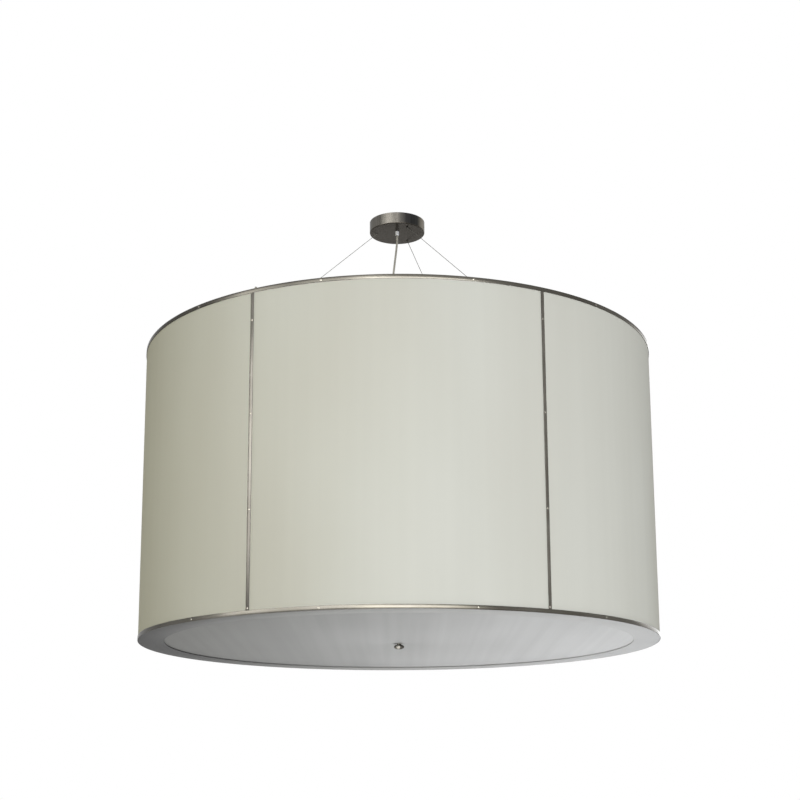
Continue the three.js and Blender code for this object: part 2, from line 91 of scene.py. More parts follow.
def upright_angle(number: int) -> float:
    """Angle of an upright, counted from 1."""
    return (number - 1) * FULL_TURN / len(UPRIGHTS)


def turned(angle: float) -> Matrix:
    """A turn about the chandelier's axis."""
    return Matrix.Rotation(angle, 4, "Z")


def at_upright(number: int, radius: float, height: float = 0) -> Matrix:
    """The place in an upright's direction at a radius and a height, facing outwards."""
    return turned(upright_angle(number)) @ Matrix.Translation((radius, 0, height))


def section(inner: float, outer: float, bottom: float, top: float) -> list[Point]:
    """The corners of a rectangle in radius and height."""
    return [(inner, bottom), (outer, bottom), (outer, top), (inner, top)]


def arc(centre: Point, radius: float, start: float, end: float, steps: int) -> list[Point]:
    """Points of an arc in radius and height.

    Args:
        centre: Radius and height of the arc's centre.
        radius: The arc's own radius.
        start: First angle in degrees, 0 pointing outwards and 90 up.
        end: Last angle in degrees.
        steps: Number of stretches between the points.

    Returns:
        The points, both ends included.
    """
    angles = [math.radians(start + (end - start) * i / steps) for i in range(steps + 1)]
    return [(centre[0] + radius * math.cos(a), centre[1] + radius * math.sin(a)) for a in angles]


def curve_points(corners: Sequence[Point], steps: int) -> list[Point]:
    """Points of a Bezier curve of any degree in radius and height.

    Args:
        corners: The curve's control points, its ends included.
        steps: Number of stretches between the points.

    Returns:
        The points, both ends included.
    """
    points = []
    for i in range(steps + 1):
        row = [Vector(corner) for corner in corners]
        while len(row) > 1:
            row = [a.lerp(b, i / steps) for a, b in zip(row, row[1:])]
        points.append(tuple(row[0]))
    return points


def thread_points(
    middle: float, swing: float, start: float, end: float, turns: int, steps: int
) -> list[Point]:
    """Points of a thread's wavy outline in radius and height.

    Args:
        middle: Radius of the thread's middle.
        swing: How far the first point stands out from the middle.
        start: First height.
        end: Last height.
        turns: Number of waves.
        steps: Number of stretches in each wave.

    Returns:
        The points, both ends included.
    """
    count = turns * steps
    return [
        (middle + swing * math.cos(FULL_TURN * i / steps), start + (end - start) * i / count)
        for i in range(count + 1)
    ]


class Bench:
    """Modelling moves: a primitive, then edit-mode operators, then modifiers that are applied."""

    @staticmethod
    def clear() -> None:
        """Deselect every object."""
        bpy.ops.object.select_all(action="DESELECT")

    @staticmethod
    def select(piece: Piece) -> None:
        """Select one object alone and make it active.

        Args:
            piece: The object.
        """
        Bench.clear()
        piece.select_set(True)
        bpy.context.view_layer.objects.active = piece

    @staticmethod
    def take(name: str) -> Piece:
        """Name the object that an operator has just added.

        Args:
            name: The new name of the object and of its data.

        Returns:
            The active object.
        """
        piece = bpy.context.active_object
        piece.name = name
        piece.data.name = name
        return piece

    @staticmethod
    @contextmanager
    def editing(piece: Piece, mode: str = "VERT") -> Iterator[None]:
        """Hold a piece in edit mode, with all of it deselected at first.

        Args:
            piece: The object to edit.
            mode: What is selected in it: VERT, EDGE or FACE.
        """
        Bench.select(piece)
        bpy.ops.object.mode_set(mode="EDIT")
        bpy.ops.mesh.select_mode(type=mode)
        bpy.ops.mesh.select_all(action="DESELECT")
        yield
        bpy.ops.object.mode_set(mode="OBJECT")

    @staticmethod
    def pick_vertices(piece: Piece, test: Callable[[Vector], bool]) -> None:
        """Select vertices in edit mode.

        Args:
            piece: The object that is being edited.
            test: Says of a vertex's place whether it is selected.
        """
        mesh = bmesh.from_edit_mesh(piece.data)
        for vertex in mesh.verts:
            vertex.select_set(test(vertex.co))
        mesh.select_flush_mode()
        bmesh.update_edit_mesh(piece.data)

    @staticmethod
    def weld() -> None:
        """Merge the doubles of all that is edited."""
        bpy.ops.mesh.select_all(action="SELECT")
        bpy.ops.mesh.remove_doubles(threshold=WELD)

    @staticmethod
    def face_outwards() -> None:
        """Point the faces of all that is edited outwards."""
        bpy.ops.mesh.select_all(action="SELECT")
        bpy.ops.mesh.normals_make_consistent(inside=False)

    @staticmethod
    def settle(piece: Piece, place: Matrix | None = None) -> Piece:
        """Put a piece in its place and leave its object at the origin, unturned and unscaled.

        Args:
            piece: The object to place.
            place: Where it goes, or nothing to keep it where it is.

        Returns:
            The same object.
        """
        if place is not None:
            piece.matrix_world = place @ piece.matrix_world
        Bench.select(piece)
        bpy.ops.object.transform_apply(location=True, rotation=True, scale=True)
        return piece

    @staticmethod
    def lay(piece: Piece, axis: str, turn: float = QUARTER_TURN) -> Piece:
        """Turn a piece about the X or Y axis, a quarter of a turn if nothing else is said."""
        return Bench.settle(piece, Matrix.Rotation(turn, 4, axis))

    @staticmethod
    def copy(piece: Piece, name: str, place: Matrix) -> Piece:
        """Copy a piece, mesh and all, and move the copy to its own place.

        Args:
            piece: The object to copy.
            name: The copy's name.
            place: Where the copy goes from where the piece is.

        Returns:
            The copy.
        """
        Bench.select(piece)
        bpy.ops.object.duplicate(linked=False)
        return Bench.settle(Bench.take(name), place)

    @staticmethod
    def join(name: str, pieces: Sequence[Piece]) -> Piece:
        """Join several pieces into one object.

        Args:
            name: The name of what comes out.
            pieces: The pieces to join, the first of which takes in the others.

        Returns:
            The joined object.
        """
        Bench.select(pieces[0])
        for piece in pieces:
            piece.select_set(True)
        if len(pieces) > 1:
            bpy.ops.object.join()
        return Bench.take(name)

    @staticmethod
    def apply(piece: Piece, kind: str, **settings: object) -> None:
        """Add a modifier and apply it at once.

        Args:
            piece: The object to modify.
            kind: The modifier's type, as Blender names it.
            settings: The modifier's settings by their names.
        """
        Bench.select(piece)
        modifier = piece.modifiers.new(kind.title(), kind)
        for key, value in settings.items():
            setattr(modifier, key, value)
        bpy.ops.object.modifier_apply(modifier=modifier.name)

    @staticmethod
    def round_edges(piece: Piece, width: float, segments: int = 2) -> None:
        """Break the sharp edges of a piece with a small rounding."""
        limit = math.radians(SHARP)
        Bench.apply(piece, "BEVEL", width=width, segments=segments, limit_method="ANGLE", angle_limit=limit)

    @staticmethod
    def unite(piece: Piece, other: Piece) -> None:
        """Grow a second closed piece into the first."""
        Bench.apply(piece, "BOOLEAN", operation="UNION", solver="EXACT", object=other)
        bpy.data.objects.remove(other)

    @staticmethod
    def cut(piece: Piece, tools: Sequence[Piece]) -> None:
        """Cut tools out of a piece and throw the tools away.

        Args:
            piece: The object to cut.
            tools: Closed objects that stand where material goes.
        """
        tool = Bench.join("cutting_tool", tools)
        Bench.apply(piece, "BOOLEAN", operation="DIFFERENCE", solver="EXACT", object=tool, use_self=True)
        bpy.data.objects.remove(tool)

    @staticmethod
    def smooth(piece: Piece, angle: float = SHARP) -> None:
        """Shade a piece smoothly, apart from the edges sharper than an angle in degrees."""
        Bench.select(piece)
        bpy.ops.object.shade_smooth_by_angle(angle=math.radians(angle))

    @staticmethod
    def soften(piece: Piece, width: float, segments: int = 2) -> Piece:
        """Round a piece's sharp edges and shade it smoothly.

        Args:
            piece: The object to soften.
            width: The rounding's width.
            segments: Number of faces across the rounding.

        Returns:
            The same object.
        """
        Bench.round_edges(piece, width, segments)
        Bench.smooth(piece)
        return piece

    @staticmethod
    def flatten_shading(piece: Piece) -> None:
        """Let the large flat faces set a smoothed piece's shading, so that drilled holes leave no streaks."""
        Bench.apply(piece, "WEIGHTED_NORMAL", mode="FACE_AREA", weight=100, keep_sharp=True)

    @staticmethod
    def block(name: str, low: Sequence[float], high: Sequence[float]) -> Piece:
        """Make a block between two corners.

        Args:
            name: The block's name.
            low: Its lowest corner.
            high: Its highest corner.

        Returns:
            The block.
        """
        low, high = Vector(low), Vector(high)
        bpy.ops.mesh.primitive_cube_add(size=1, location=(low + high) / 2, scale=high - low)
        return Bench.settle(Bench.take(name))

    @staticmethod
    def bar(name: str, radius: float, bottom: float, top: float, sides: int, rounding: float = 0) -> Piece:
        """Make an upright round or many-sided bar on the Z axis.

        Args:
            name: The bar's name.
            radius: Distance of its corners from the axis.
            bottom: Height of its lower end.
            top: Height of its upper end.
            sides: Number of its sides.
            rounding: Width of the rounding on its edges, or 0 for none.

        Returns:
            The bar.
        """
        bpy.ops.mesh.primitive_cylinder_add(
            vertices=sides, radius=radius, depth=top - bottom, location=(0, 0, (top + bottom) / 2)
        )
        bar = Bench.settle(Bench.take(name))
        if rounding:
            Bench.round_edges(bar, rounding)
        return bar

    @staticmethod
    def turn(name: str, outline: Outline, steps: int, sweep: float = FULL_TURN) -> Piece:
        """Turn an outline about the Z axis into a closed piece.

        Args:
            name: The piece's name.
            outline: Radius and height of each corner. It starts and ends on the axis, or it closes on itself.
            steps: Number of stretches round the sweep.
            sweep: How far it is turned, from the X axis on.

        Returns:
            The turned piece.
        """
        on_axis = outline[0][0] == 0 and outline[-1][0] == 0
        corners = list(outline) if on_axis else [*outline, outline[0]]
        bpy.ops.mesh.primitive_plane_add(size=MM, location=(0, 0, 0))
        piece = Bench.take(name)
        with Bench.editing(piece):
            bpy.ops.mesh.select_all(action="SELECT")
            bpy.ops.mesh.merge(type="CENTER")
            bpy.ops.transform.translate(value=(corners[0][0], 0, corners[0][1]))
            for (radius, height), (next_radius, next_height) in zip(corners, corners[1:]):
                step = (next_radius - radius, 0, next_height - height)
                bpy.ops.mesh.extrude_vertices_move(TRANSFORM_OT_translate={"value": step})
            Bench.weld()
            bpy.ops.mesh.spin(steps=steps, angle=sweep, center=(0, 0, 0), axis=(0, 0, 1))
            Bench.weld()
            if sweep < FULL_TURN:
                bpy.ops.mesh.fill_holes(sides=0)
            Bench.face_outwards()
        return piece


def paint(colour: str) -> tuple[float, float, float, float]:
    """Turn a web colour into linear light.

    Args:
        colour: Red, green and blue in hexadecimal, such as D0D0C8.

    Returns:
        Linear red, green, blue and alpha.
    """
    shares = [int(colour[i : i + 2], 16) / 255 for i in (0, 2, 4)]
    red, green, blue = (((c + 0.055) / 1.055) ** 2.4 if c > 0.04045 else c / 12.92 for c in shares)
    return red, green, blue, 1.0


class Wiring:
    """A node tree while it is being made."""

    def __init__(self, tree: bpy.types.NodeTree) -> None:
        """Take up a tree."""
        self.tree = tree

    def node(self, kind: str, **settings: object) -> bpy.types.Node:
        """Add a node.

        Args:
            kind: The node's type, as Blender names it.
            settings: The node's settings by their names.

        Returns:
            The new node.
        """
        made = self.tree.nodes.new(kind)
        for key, value in settings.items():
            setattr(made, key, value)
        return made

    def wire(self, source: Socket, target: Socket) -> None:
        """Join an output to an input."""
        self.tree.links.new(source, target)

    def remap(self, value: Socket, old: Point, new: Point = (0.0, 1.0)) -> Socket:
        """Carry a value over from one range to another, and hold it inside.

        Args:
            value: The value's output.
            old: Both ends of the range that it has.
            new: Both ends of the range that it gets.

        Returns:
            The new value's output.
        """
        remap = self.node("ShaderNodeMapRange")
        for name, end in zip(("From Min", "From Max", "To Min", "To Max"), (*old, *new)):
            remap.inputs[name].default_value = end
        self.wire(value, remap.inputs["Value"])
        return remap.outputs["Result"]

    def seen(self) -> Socket:
        """Tell what the camera sees, also in metal and through glass, from what lights the scene.

        Returns:
            An output that is 1 where it is seen.
        """
        rays = self.node("ShaderNodeLightPath")
        joined, *others = [rays.outputs[name] for name in SEEN_RAYS]
        for flag in others:
            larger = self.node("ShaderNodeMath", operation="MAXIMUM")
            self.wire(joined, larger.inputs[0])
            self.wire(flag, larger.inputs[1])
            joined = larger.outputs["Value"]
        return joined


class Brush(Enum):
    """Which way a metal's brush lines run: how many there are to the metre along each axis."""

    ROUND_THE_AXIS = (4.0, 4.0, 2600.0)
    UPRIGHT = (1500.0, 1500.0, 6.0)
    CROSSED = (900.0, 900.0, 900.0)


class Recipe(Wiring):
    """A finish's material while it is being made."""

    def __init__(self, name: str) -> None:
        """Start a material with its shader.

        Args:
            name: The material's name.
        """
        self.material = bpy.data.materials.new(name)
        self.material.use_nodes = True
        super().__init__(self.material.node_tree)
        self.shader = self.tree.nodes["Principled BSDF"]

    def fix(self, **values: float | tuple[float, ...]) -> None:
        """Set the shader's own sockets, named with underscores for spaces."""
        for key, value in values.items():
            self.shader.inputs[key.replace("_", " ")].default_value = value

    def place(self, stretch: Triple = (1, 1, 1)) -> Socket:
        """Read the place on the object.

        Args:
            stretch: How far each axis is stretched.

        Returns:
            The output of the stretched Object coordinates.
        """
        mapping = self.node("ShaderNodeMapping")
        mapping.inputs["Scale"].default_value = stretch
        self.wire(self.node("ShaderNodeTexCoord").outputs["Object"], mapping.inputs["Vector"])
        return mapping.outputs["Vector"]

    def axes(self) -> bpy.types.Node:
        """Part the place on the object into X, Y and Z.

        Returns:
            The node with an output for each.
        """
        parts = self.node("ShaderNodeSeparateXYZ")
        self.wire(self.place(), parts.inputs["Vector"])
        return parts

    def noise(self, stretch: Triple, detail: float = 3.0) -> Socket:
        """Make a noise.

        Args:
            stretch: How many waves it has to the metre along each axis.
            detail: How many finer layers it has.

        Returns:
            The noise's output.
        """
        texture = self.node("ShaderNodeTexNoise")
        texture.inputs["Scale"].default_value = 1.0
        texture.inputs["Detail"].default_value = detail
        self.wire(self.place(stretch), texture.inputs["Vector"])
        return texture.outputs["Fac"]

    def rings(self, per_metre: float) -> Socket:
        """Make a noise in rings round the chandelier's axis, as a spinning lathe leaves.

        Args:
            per_metre: Number of rings to the metre.

        Returns:
            The noise's output.
        """
        parts = self.axes()
        flat = self.node("ShaderNodeCombineXYZ")
        for axis in "XY":
            self.wire(parts.outputs[axis], flat.inputs[axis])
        length = self.node("ShaderNodeVectorMath", operation="LENGTH")
        self.wire(flat.outputs["Vector"], length.inputs[0])
        texture = self.node("ShaderNodeTexNoise", noise_dimensions="1D")
        texture.inputs["Scale"].default_value = per_metre
        self.wire(length.outputs["Value"], texture.inputs["W"])
        return texture.outputs["Fac"]

    def ramp(self, factor: Socket, stops: Stops) -> Socket:
        """Run through colours along a factor.

        Args:
            factor: The factor's output.
            stops: The colours, each with its share of the way.

        Returns:
            The colour's output.
        """
        ramp = self.node("ShaderNodeValToRGB")
        elements = ramp.color_ramp.elements
        while len(elements) < len(stops):
            elements.new(0.5)
        for element, (share, colour) in zip(elements, stops):
            element.position = share
            element.color = paint(colour)
        self.wire(factor, ramp.inputs["Fac"])
        return ramp.outputs["Color"]

    def mottle(self, noise: Socket, *colours: str) -> Socket:
        """Spread colours evenly over the middle of a noise.

        Args:
            noise: The noise's output.
            colours: Two or more colours.

        Returns:
            The colour's output.
        """
        first, last = NOISE_MIDDLE
        step = (last - first) / (len(colours) - 1)
        return self.ramp(noise, [(first + i * step, colour) for i, colour in enumerate(colours)])

    def across(self, half_width: float, stops: Stops) -> Socket:
        """Run through colours from the chandelier's left side to its right.

        Args:
            half_width: Distance of each side from the axis.
            stops: The colours, each with its share of the way.

        Returns:
            The colour's output.
        """
        return self.ramp(self.remap(self.axes().outputs["X"], (-half_width, half_width)), stops)

    def round_the_axis(self, stops: Stops) -> Socket:
        """Run through colours once round the chandelier's axis.

        Args:
            stops: The colours, each with its share of a turn from the left side over the front.

        Returns:
            The colour's output.
        """
        gradient = self.node("ShaderNodeTexGradient", gradient_type="RADIAL")
        self.wire(self.place(), gradient.inputs["Vector"])
        return self.ramp(gradient.outputs["Fac"], stops)

    def mix(self, first: Socket, second: Socket, blend_type: str = "MIX") -> bpy.types.Node:
        """Lay a second colour over a first.

        Args:
            first: The first colour's output.
            second: The second colour's output.
            blend_type: How they meet, as Blender names it.

        Returns:
            The node, whose factor is still to be given.
        """
        mix = self.node("ShaderNodeMix", data_type="RGBA", blend_type=blend_type)
        self.wire(first, mix.inputs["A"])
        self.wire(second, mix.inputs["B"])
        return mix

    def blend(self, factor: Socket, first: Socket, second: Socket) -> Socket:
        """Pass from a first colour to a second by a factor.

        Args:
            factor: The factor's output, 0 for the first colour and 1 for the second.
            first: The first colour's output.
            second: The second colour's output.

        Returns:
            The colour's output.
        """
        mix = self.mix(first, second)
        self.wire(factor, mix.inputs["Factor"])
        return mix.outputs["Result"]

    def darken(self, colour: Socket, shade: Socket) -> Socket:
        """Multiply a colour by a shade.

        Args:
            colour: The colour's output.
            shade: The shade's output, white to leave the colour as it is.

        Returns:
            The new colour's output.
        """
        mix = self.mix(colour, shade, "MULTIPLY")
        mix.inputs["Factor"].default_value = 1.0
        return mix.outputs["Result"]

    def spread(self, noise: Socket, ends: Point) -> Socket:
        """Spread the middle of a noise over a range of values."""
        return self.remap(noise, NOISE_MIDDLE, ends)

    def tone(self, colour: Socket, noise: Socket, ends: Point) -> Socket:
        """Darken or lighten a colour by a noise, between two numbers of times."""
        return self.darken(colour, self.spread(noise, ends))

    def bump(self, height: Socket, depth: float, strength: float = 1.0) -> None:
        """Bump the surface, over what bumps it already.

        Args:
            height: The height's output.
            depth: How deep the bumps are.
            strength: How much of them shows.
        """
        bump = self.node("ShaderNodeBump")
        bump.inputs["Distance"].default_value = depth
        bump.inputs["Strength"].default_value = strength
        normal = self.shader.inputs["Normal"]
        if normal.is_linked:
            self.wire(normal.links[0].from_socket, bump.inputs["Normal"])
        self.wire(height, bump.inputs["Height"])
        self.wire(bump.outputs["Normal"], normal)


@dataclass(frozen=True)
class Surface:
    """What every finish has: the slot that the record gives it, and the making of its material."""

    slot: str

    def make(self, name: str) -> bpy.types.Material:
        """Build the finish's material.

        Args:
            name: The material's name.

        Returns:
            The material.
        """
        recipe = Recipe(name)
        colour, roughness = self.mix(recipe)
        recipe.wire(colour, recipe.shader.inputs["Base Color"])
        recipe.wire(roughness, recipe.shader.inputs["Roughness"])
        return recipe.material

    def mix(self, recipe: Recipe) -> Layers:
        """Mix the finish and bump its surface.

        Args:
            recipe: The material that is being made.

        Returns:
            The outputs of its colour and its roughness.
        """
        raise NotImplementedError


@dataclass(frozen=True)
class BrushedMetal(Surface):
    """Nickel or steel with brush lines and wear, and on the bands with painted reflections in greys round the
    axis.
    """

    dark: str
    middle: str
    light: str
    brush: Brush
    patch_per_metre: Triple = (9.0, 9.0, 9.0)
    roughness: Point = (0.2, 0.34)
    scratch_depth: float = 0.004 * MM
    edge_tint: float = 0.6
    painted_reflections: tuple[tuple[float, int], ...] = ()
    line_detail: float = 4.0
    line_tones: Point = (0.88, 1.1)

    def mix(self, recipe: Recipe) -> Layers:
        """Lay brush lines over the patches, and the painted reflections over both.

        Args:
            recipe: The material that is being made.

        Returns:
            The outputs of its colour and its roughness.
        """
        recipe.fix(Metallic=1.0, Specular_Tint=(self.edge_tint,) * 3 + (1.0,))
        colour = recipe.mottle(recipe.noise(self.patch_per_metre), self.dark, self.middle, self.light)
        lines = recipe.noise(self.brush.value, self.line_detail)
        colour = recipe.tone(colour, lines, self.line_tones)
        # The greys round the axis are painted reflections: they darken the band where the room's reflection
        # is dark.
        if self.painted_reflections:
            greys = [(share, f"{level:02X}" * 3) for share, level in self.painted_reflections]
            colour = recipe.darken(colour, recipe.round_the_axis(greys))
        recipe.bump(lines, self.scratch_depth)
        return colour, recipe.spread(lines, self.roughness)


@dataclass(frozen=True)
class SpunNickel(Surface):
    """Nickel spun on a lathe, with painted reflections and highlights in tones round its side, and a darker
    underside up to its bend that is painted shade.
    """

    underside: float
    underside_painted_shade: tuple[str, str]
    side_painted_reflections: Stops
    edge_tint: float = 0.6
    rings_per_metre: float = 1400
    ring_tones: Point = (0.94, 1.06)
    ring_depth: float = 0.0004 * MM
    face_patches: Triple = (9, 9, 9)
    face_ends: Point = (0.35, 0.65)
    side_patches: Triple = (160, 160, 14)
    side_tones: Point = (0.82, 1.18)
    bend_heights: Point = (1.6 * MM, 2.6 * MM)
    roughness: Point = (0.2, 0.3)

    def mix(self, recipe: Recipe) -> Layers:
        """Blend the underside into the side at the bend, and lay the lathe's rings over both.

        Args:
            recipe: The material that is being made.

        Returns:
            The outputs of its colour and its roughness.
        """
        recipe.fix(Metallic=1.0, Specular_Tint=(self.edge_tint,) * 3 + (1.0,))
        # The underside's colours are painted shade, and the side's colours round the axis are painted
        # reflections and highlights.
        face = recipe.ramp(recipe.noise(self.face_patches), list(zip(self.face_ends, self.underside_painted_shade)))
        side = recipe.round_the_axis(self.side_painted_reflections)
        side = recipe.tone(side, recipe.noise(self.side_patches), self.side_tones)
        low, high = self.bend_heights
        above_bend = recipe.remap(recipe.axes().outputs["Z"], (self.underside + low, self.underside + high))
        lathe = recipe.rings(self.rings_per_metre)
        colour = recipe.tone(recipe.blend(above_bend, face, side), lathe, self.ring_tones)
        recipe.bump(lathe, self.ring_depth)
        return colour, recipe.spread(lathe, self.roughness)


@dataclass(frozen=True)
class ShadeSheet(Surface):
    """The shade's warm white sheet: faint upright streaks, soft clouds and a fine matt tooth."""

    shaded: str
    middle: str
    light: str
    cloud_size: Triple = (2.2, 2.2, 0.9)
    streak_size: Triple = (26, 26, 0.35)
    streak_tones: Point = (0.988, 1.008)
    streak_depth: float = 0.1 * MM
    tooth_size: Triple = (1100, 1100, 1100)
    tooth_depth: float = 0.02 * MM
    roughness: Point = (0.5, 0.6)

    def mix(self, recipe: Recipe) -> Layers:
        """Lay streaks over the clouds, and a tooth on the surface.

        Args:
            recipe: The material that is being made.

        Returns:
            The outputs of its colour and its roughness.
        """
        recipe.fix(IOR=1.45, Specular_IOR_Level=0.0)
        colour = recipe.mottle(recipe.noise(self.cloud_size, 2.0), self.shaded, self.middle, self.light)
        streaks = recipe.noise(self.streak_size)
        tooth = recipe.noise(self.tooth_size, 2.0)
        recipe.bump(tooth, self.tooth_depth, 0.4)
        recipe.bump(streaks, self.streak_depth, 0.2)
        return recipe.tone(colour, streaks, self.streak_tones), recipe.spread(tooth, self.roughness)


@dataclass(frozen=True)
class FrostedSheet(Surface):
    """The diffuser's frosted sheet: painted shade from dark at the left to light at the right, fine extrusion
    lines along Y, soft clouds and a matt tooth.
    """

    left: str
    right: str
    half_width: float
    line_size: Triple = (34, 0.5, 1)
    line_tones: Point = (0.95, 1.04)
    cloud_size: Triple = (3.5, 1.2, 1)
    cloud_tones: Point = (0.94, 1.05)
    tooth_size: Triple = (900, 900, 900)
    tooth_depth: float = 0.02 * MM
    roughness: Point = (0.5, 0.62)

    def mix(self, recipe: Recipe) -> Layers:
        """Grade the sheet from dark at the left to light at the right as painted shade, then lay lines and
        clouds over it.

        Args:
            recipe: The material that is being made.

        Returns:
            The outputs of its colour and its roughness.
        """
        recipe.fix(IOR=1.45, Specular_IOR_Level=0.12)
        # Painted shade: dark at the left, light at the right.
        colour = recipe.across(self.half_width, [(0.0, self.left), (1.0, self.right)])
        colour = recipe.tone(colour, recipe.noise(self.line_size, 4.0), self.line_tones)
        colour = recipe.tone(colour, recipe.noise(self.cloud_size, 2.0), self.cloud_tones)
        tooth = recipe.noise(self.tooth_size, 2.0)
        recipe.bump(tooth, self.tooth_depth, 0.5)
        return colour, recipe.spread(tooth, self.roughness)


@dataclass(frozen=True)
class SatinCoat(Surface):
    """Sprayed satin coat with a faint orange peel and slight unevenness of tone."""

    low: str
    high: str
    roughness: Point = (0.38, 0.5)
    drift_size: Triple = (3.0, 3.0, 3.0)
    shine: float = 0.4
    peel_size: Triple = (420, 420, 420)
    peel_tones: Point = (0.97, 1.02)
    peel_depth: float = 0.03 * MM

    def mix(self, recipe: Recipe) -> Layers:
        """Lay the peel over a slow drift of tone.

        Args:
            recipe: The material that is being made.

        Returns:
            The outputs of its colour and its roughness.
        """
        recipe.fix(IOR=1.48, Specular_IOR_Level=self.shine)
        peel = recipe.noise(self.peel_size, 2.0)
        colour = recipe.mottle(recipe.noise(self.drift_size, 2.0), self.low, self.high)
        recipe.bump(peel, self.peel_depth, 0.4)
        return recipe.tone(colour, peel, self.peel_tones), recipe.spread(peel, self.roughness)


@dataclass(frozen=True)
class GradedCoat(Surface):
    """The flange's satin grey, with painted shade: darker on the drum's left side than on its right."""

    left: str
    middle: str
    right: str
    half_width: float
    middle_share: float = 0.45
    drift_size: Triple = (6, 6, 6)
    drift_tones: Point = (0.95, 1.04)
    peel_size: Triple = (420, 420, 420)
    peel_depth: float = 0.03 * MM
    roughness: Point = (0.44, 0.56)

    def mix(self, recipe: Recipe) -> Layers:
        """Grade the coat from dark at the left to light at the right as painted shade, with a drift of tone
        and a peel on its surface.

        Args:
            recipe: The material that is being made.

        Returns:
            The outputs of its colour and its roughness.
        """
        recipe.fix(IOR=1.48, Specular_IOR_Level=0.05)
        # Painted shade: dark at the left, light at the right.
        stops = [(0.0, self.left), (self.middle_share, self.middle), (1.0, self.right)]
        colour = recipe.across(self.half_width, stops)
        colour = recipe.tone(colour, recipe.noise(self.drift_size), self.drift_tones)
        peel = recipe.noise(self.peel_size, 2.0)
        recipe.bump(peel, self.peel_depth, 0.4)
        return colour, recipe.spread(peel, self.roughness)


@dataclass(frozen=True)
class GlazedWhite(Surface):
    """Porcelain or opal glass: clear gloss over a white that is never quite even."""

    low: str
    high: str
    coat: float
    cloud_size: Triple = (38, 38, 38)
    pit_size: Triple = (520, 520, 520)
    pit_depth: float = 0.012 * MM
    roughness: Point = (0.2, 0.32)

    def mix(self, recipe: Recipe) -> Layers:
        """Cloud the white, pit it finely and coat it.

        Args:
            recipe: The material that is being made.

        Returns:
            The outputs of its colour and its roughness.
        """
        recipe.fix(IOR=1.52, Coat_Weight=self.coat, Coat_Roughness=0.06)
        pits = recipe.noise(self.pit_size, 1.0)
        recipe.bump(pits, self.pit_depth, 0.4)
        colour = recipe.mottle(recipe.noise(self.cloud_size), self.low, self.high)
        return colour, recipe.spread(pits, self.roughness)


@dataclass(frozen=True)
class CordJacket(Surface):
    """The power cord's matt jacket, with the faint lay of its cores showing through."""

    low: str
    high: str
    lay_stretch: Triple = (3, 3, 1)
    lay_per_metre: float = 28.0
    lay_wobble: float = 0.6
    lay_tones: Point = (0.95, 1.04)
    lay_depth: float = 0.15 * MM
    scuff_size: Triple = (180, 180, 40)
    roughness: Point = (0.42, 0.56)

    def mix(self, recipe: Recipe) -> Layers:
        """Wind the lay of the cores round a scuffed jacket.

        Args:
            recipe: The material that is being made.

        Returns:
            The outputs of its colour and its roughness.
        """
        recipe.fix(IOR=1.46, Specular_IOR_Level=0.35)
        wave = recipe.node("ShaderNodeTexWave", wave_type="BANDS", bands_direction="DIAGONAL")
        wave.inputs["Scale"].default_value = self.lay_per_metre
        wave.inputs["Distortion"].default_value = self.lay_wobble
        recipe.wire(recipe.place(self.lay_stretch), wave.inputs["Vector"])
        lay = wave.outputs["Fac"]
        scuffs = recipe.noise(self.scuff_size)
        recipe.bump(lay, self.lay_depth, 0.5)
        colour = recipe.tone(recipe.mottle(scuffs, self.low, self.high), lay, self.lay_tones)
        return colour, recipe.spread(scuffs, self.roughness)


